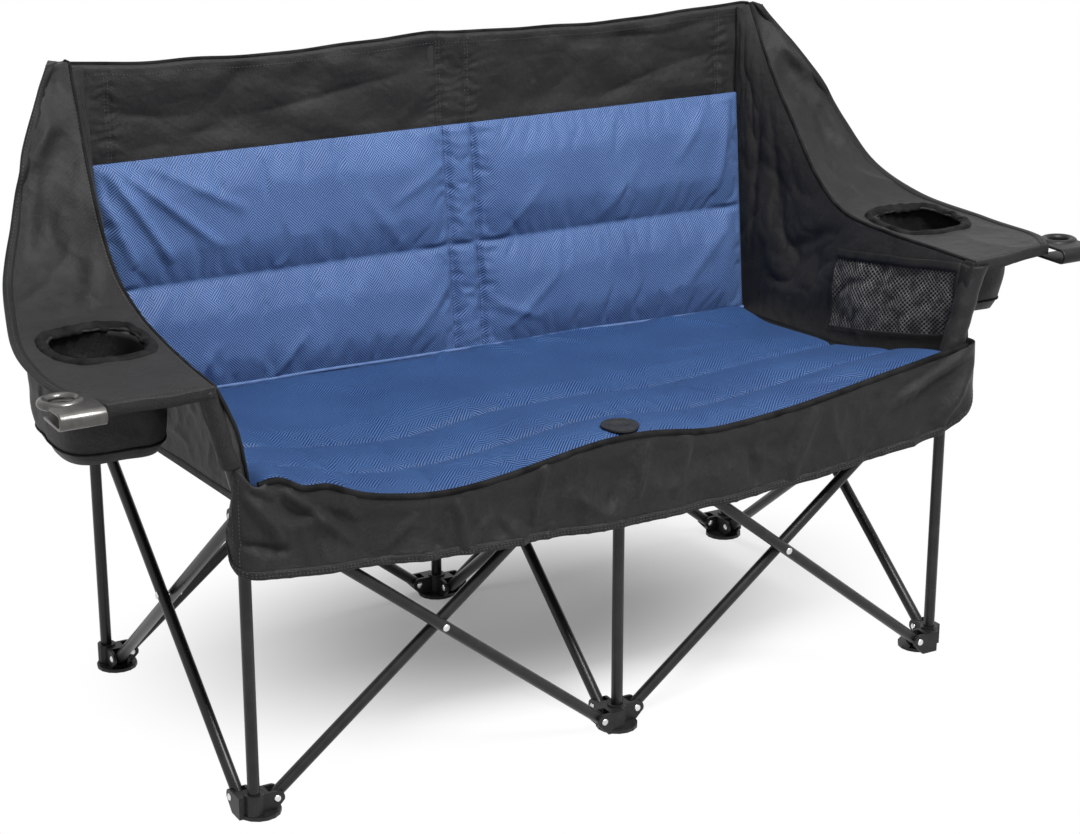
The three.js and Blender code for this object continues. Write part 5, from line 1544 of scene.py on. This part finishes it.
# goes into edit mode with the wanted vertices or polygons of a piece selected
def pickParts(piece, kind, wanted):
    only(piece)
    bpy.context.tool_settings.mesh_select_mode = (kind == "vertices", False, kind == "polygons")
    bpy.ops.object.mode_set(mode="EDIT")
    bpy.ops.mesh.select_all(action="DESELECT")
    bpy.ops.object.mode_set(mode="OBJECT")
    for part in getattr(piece.data, kind):
        part.select = bool(wanted(part))
    bpy.ops.object.mode_set(mode="EDIT")


def squashed(piece):
    piece.scale = clip["ringSquash"]
    return settle(piece)


def clipPiece(hand, sign, finish, slotName):
    low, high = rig.box(f"{hand}_glass_clip")
    middle = (low + high) / 2
    radius = (high.z - low.z - clip["wall"]) / 2
    bend = low.y + radius + clip["wall"] / 2
    deselect()
    bpy.ops.mesh.primitive_plane_add(size=1, location=(middle.x, (bend + high.y) / 2, middle.z + radius))
    plate = bpy.context.object
    plate.name = f"{hand}_stem_clip"
    plate.scale = (high.x - low.x, high.y - bend, 1)
    settle(plate)
    pickParts(plate, "vertices", lambda part: part.co.y < middle.y and (part.co.x - middle.x) * sign > 0)
    bpy.ops.transform.translate(value=(-sign * clip["cutBack"], 0, 0))
    for end, rounding in zip((1, -1), clip["corners"]):
        pickParts(plate, "vertices",
                  lambda part: part.co.y > high.y - clip["hair"] and (part.co.x - middle.x) * sign * end > 0.02)
        bpy.ops.mesh.bevel(offset=rounding, offset_pct=0, segments=8, affect="VERTICES")
    pickParts(plate, "vertices", lambda part: part.co.y < bend + clip["hair"])
    bpy.ops.mesh.spin(steps=14, angle=math.pi, center=(middle.x, bend, middle.z), axis=(-1, 0, 0))
    bpy.ops.mesh.extrude_region_move(TRANSFORM_OT_translate={"value": (0, low.y + clip["jaw"] - bend, 0)})
    faceOut(plate)
    thick = plate.modifiers.new("plate", "SOLIDIFY")
    thick.thickness = clip["wall"]
    thick.offset = 0
    softEdges(plate, clip["soft"], 3, 50)
    applyAll(plate)
    loop = place(sign * clip["loop"][0], clip["loop"][1], 0)
    loop.z = middle.z + radius
    major, minor = clip["ring"]
    deselect()
    bpy.ops.mesh.primitive_cylinder_add(vertices=48, radius=major - minor * 0.4, depth=clip["cutter"], location=loop)
    cutter = squashed(bpy.context.object)
    hole = plate.modifiers.new("hole", "BOOLEAN")
    hole.object = cutter
    hole.solver = "EXACT"
    applyAll(plate)
    bpy.data.objects.remove(cutter)
    deselect()
    bpy.ops.mesh.primitive_torus_add(
        major_segments=56, minor_segments=16, major_radius=major, minor_radius=minor,
        location=(loop.x, loop.y, loop.z - clip["hair"]))
    unite(plate, [squashed(bpy.context.object)])
    smoothBy(35)
    return dress(plate, finish, f"front_{hand}_post", slotName, stands=[f"{hand}_glass_clip"])


clipPiece("left", -1, clipGrey, "clip_grey")
clipPiece("right", 1, clipBlack, "clip_black")

# seat button: a low disc with a rim and a dimple
button = {"sides": 64, "tall": 0.0042, "sunk": 0.001, "soft": 0.0008,
          "steps": [(0.003, 0.0), (0.007, -0.0008), (0.002, 0.0008), (0.005, -0.0018)]}
low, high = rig.box("seat_button")
under = seatTop[np.abs(seatTop[:, 0, 1] - chair["frontY"]).argmin(), seatTop.shape[1] // 2, 2] * mm
deselect()
bpy.ops.mesh.primitive_cylinder_add(
    vertices=button["sides"], radius=(high.x - low.x) / 2, depth=button["tall"],
    location=(0, (low.y + high.y) / 2, under + button["tall"] / 2 - button["sunk"]))
disc = settle(bpy.context.object)
disc.name = "seat_button_disc"
pickParts(disc, "polygons", lambda part: part.normal.z > 0.9)
for inset, rise in button["steps"]:
    bpy.ops.mesh.inset(thickness=inset)
    bpy.ops.transform.translate(value=(0, 0, rise))
bpy.ops.object.mode_set(mode="OBJECT")
softEdges(disc, button["soft"], 2, 25)
applyAll(disc)
smoothBy(30)
dress(disc, mouldedPlastic, "front_middle_post", "moulded_plastic", stands=["seat_button"])
print("clips and button made")

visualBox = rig.bounds()
with open("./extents.json", "w") as out:
    json.dump({"cad": [list(corner) for corner in cadBox], "visual": [list(corner) for corner in visualBox]}, out)
for label, box in (("visual", visualBox), ("CAD", cadBox)):
    print(label, "box", [round(v, 4) for corner in box for v in corner])
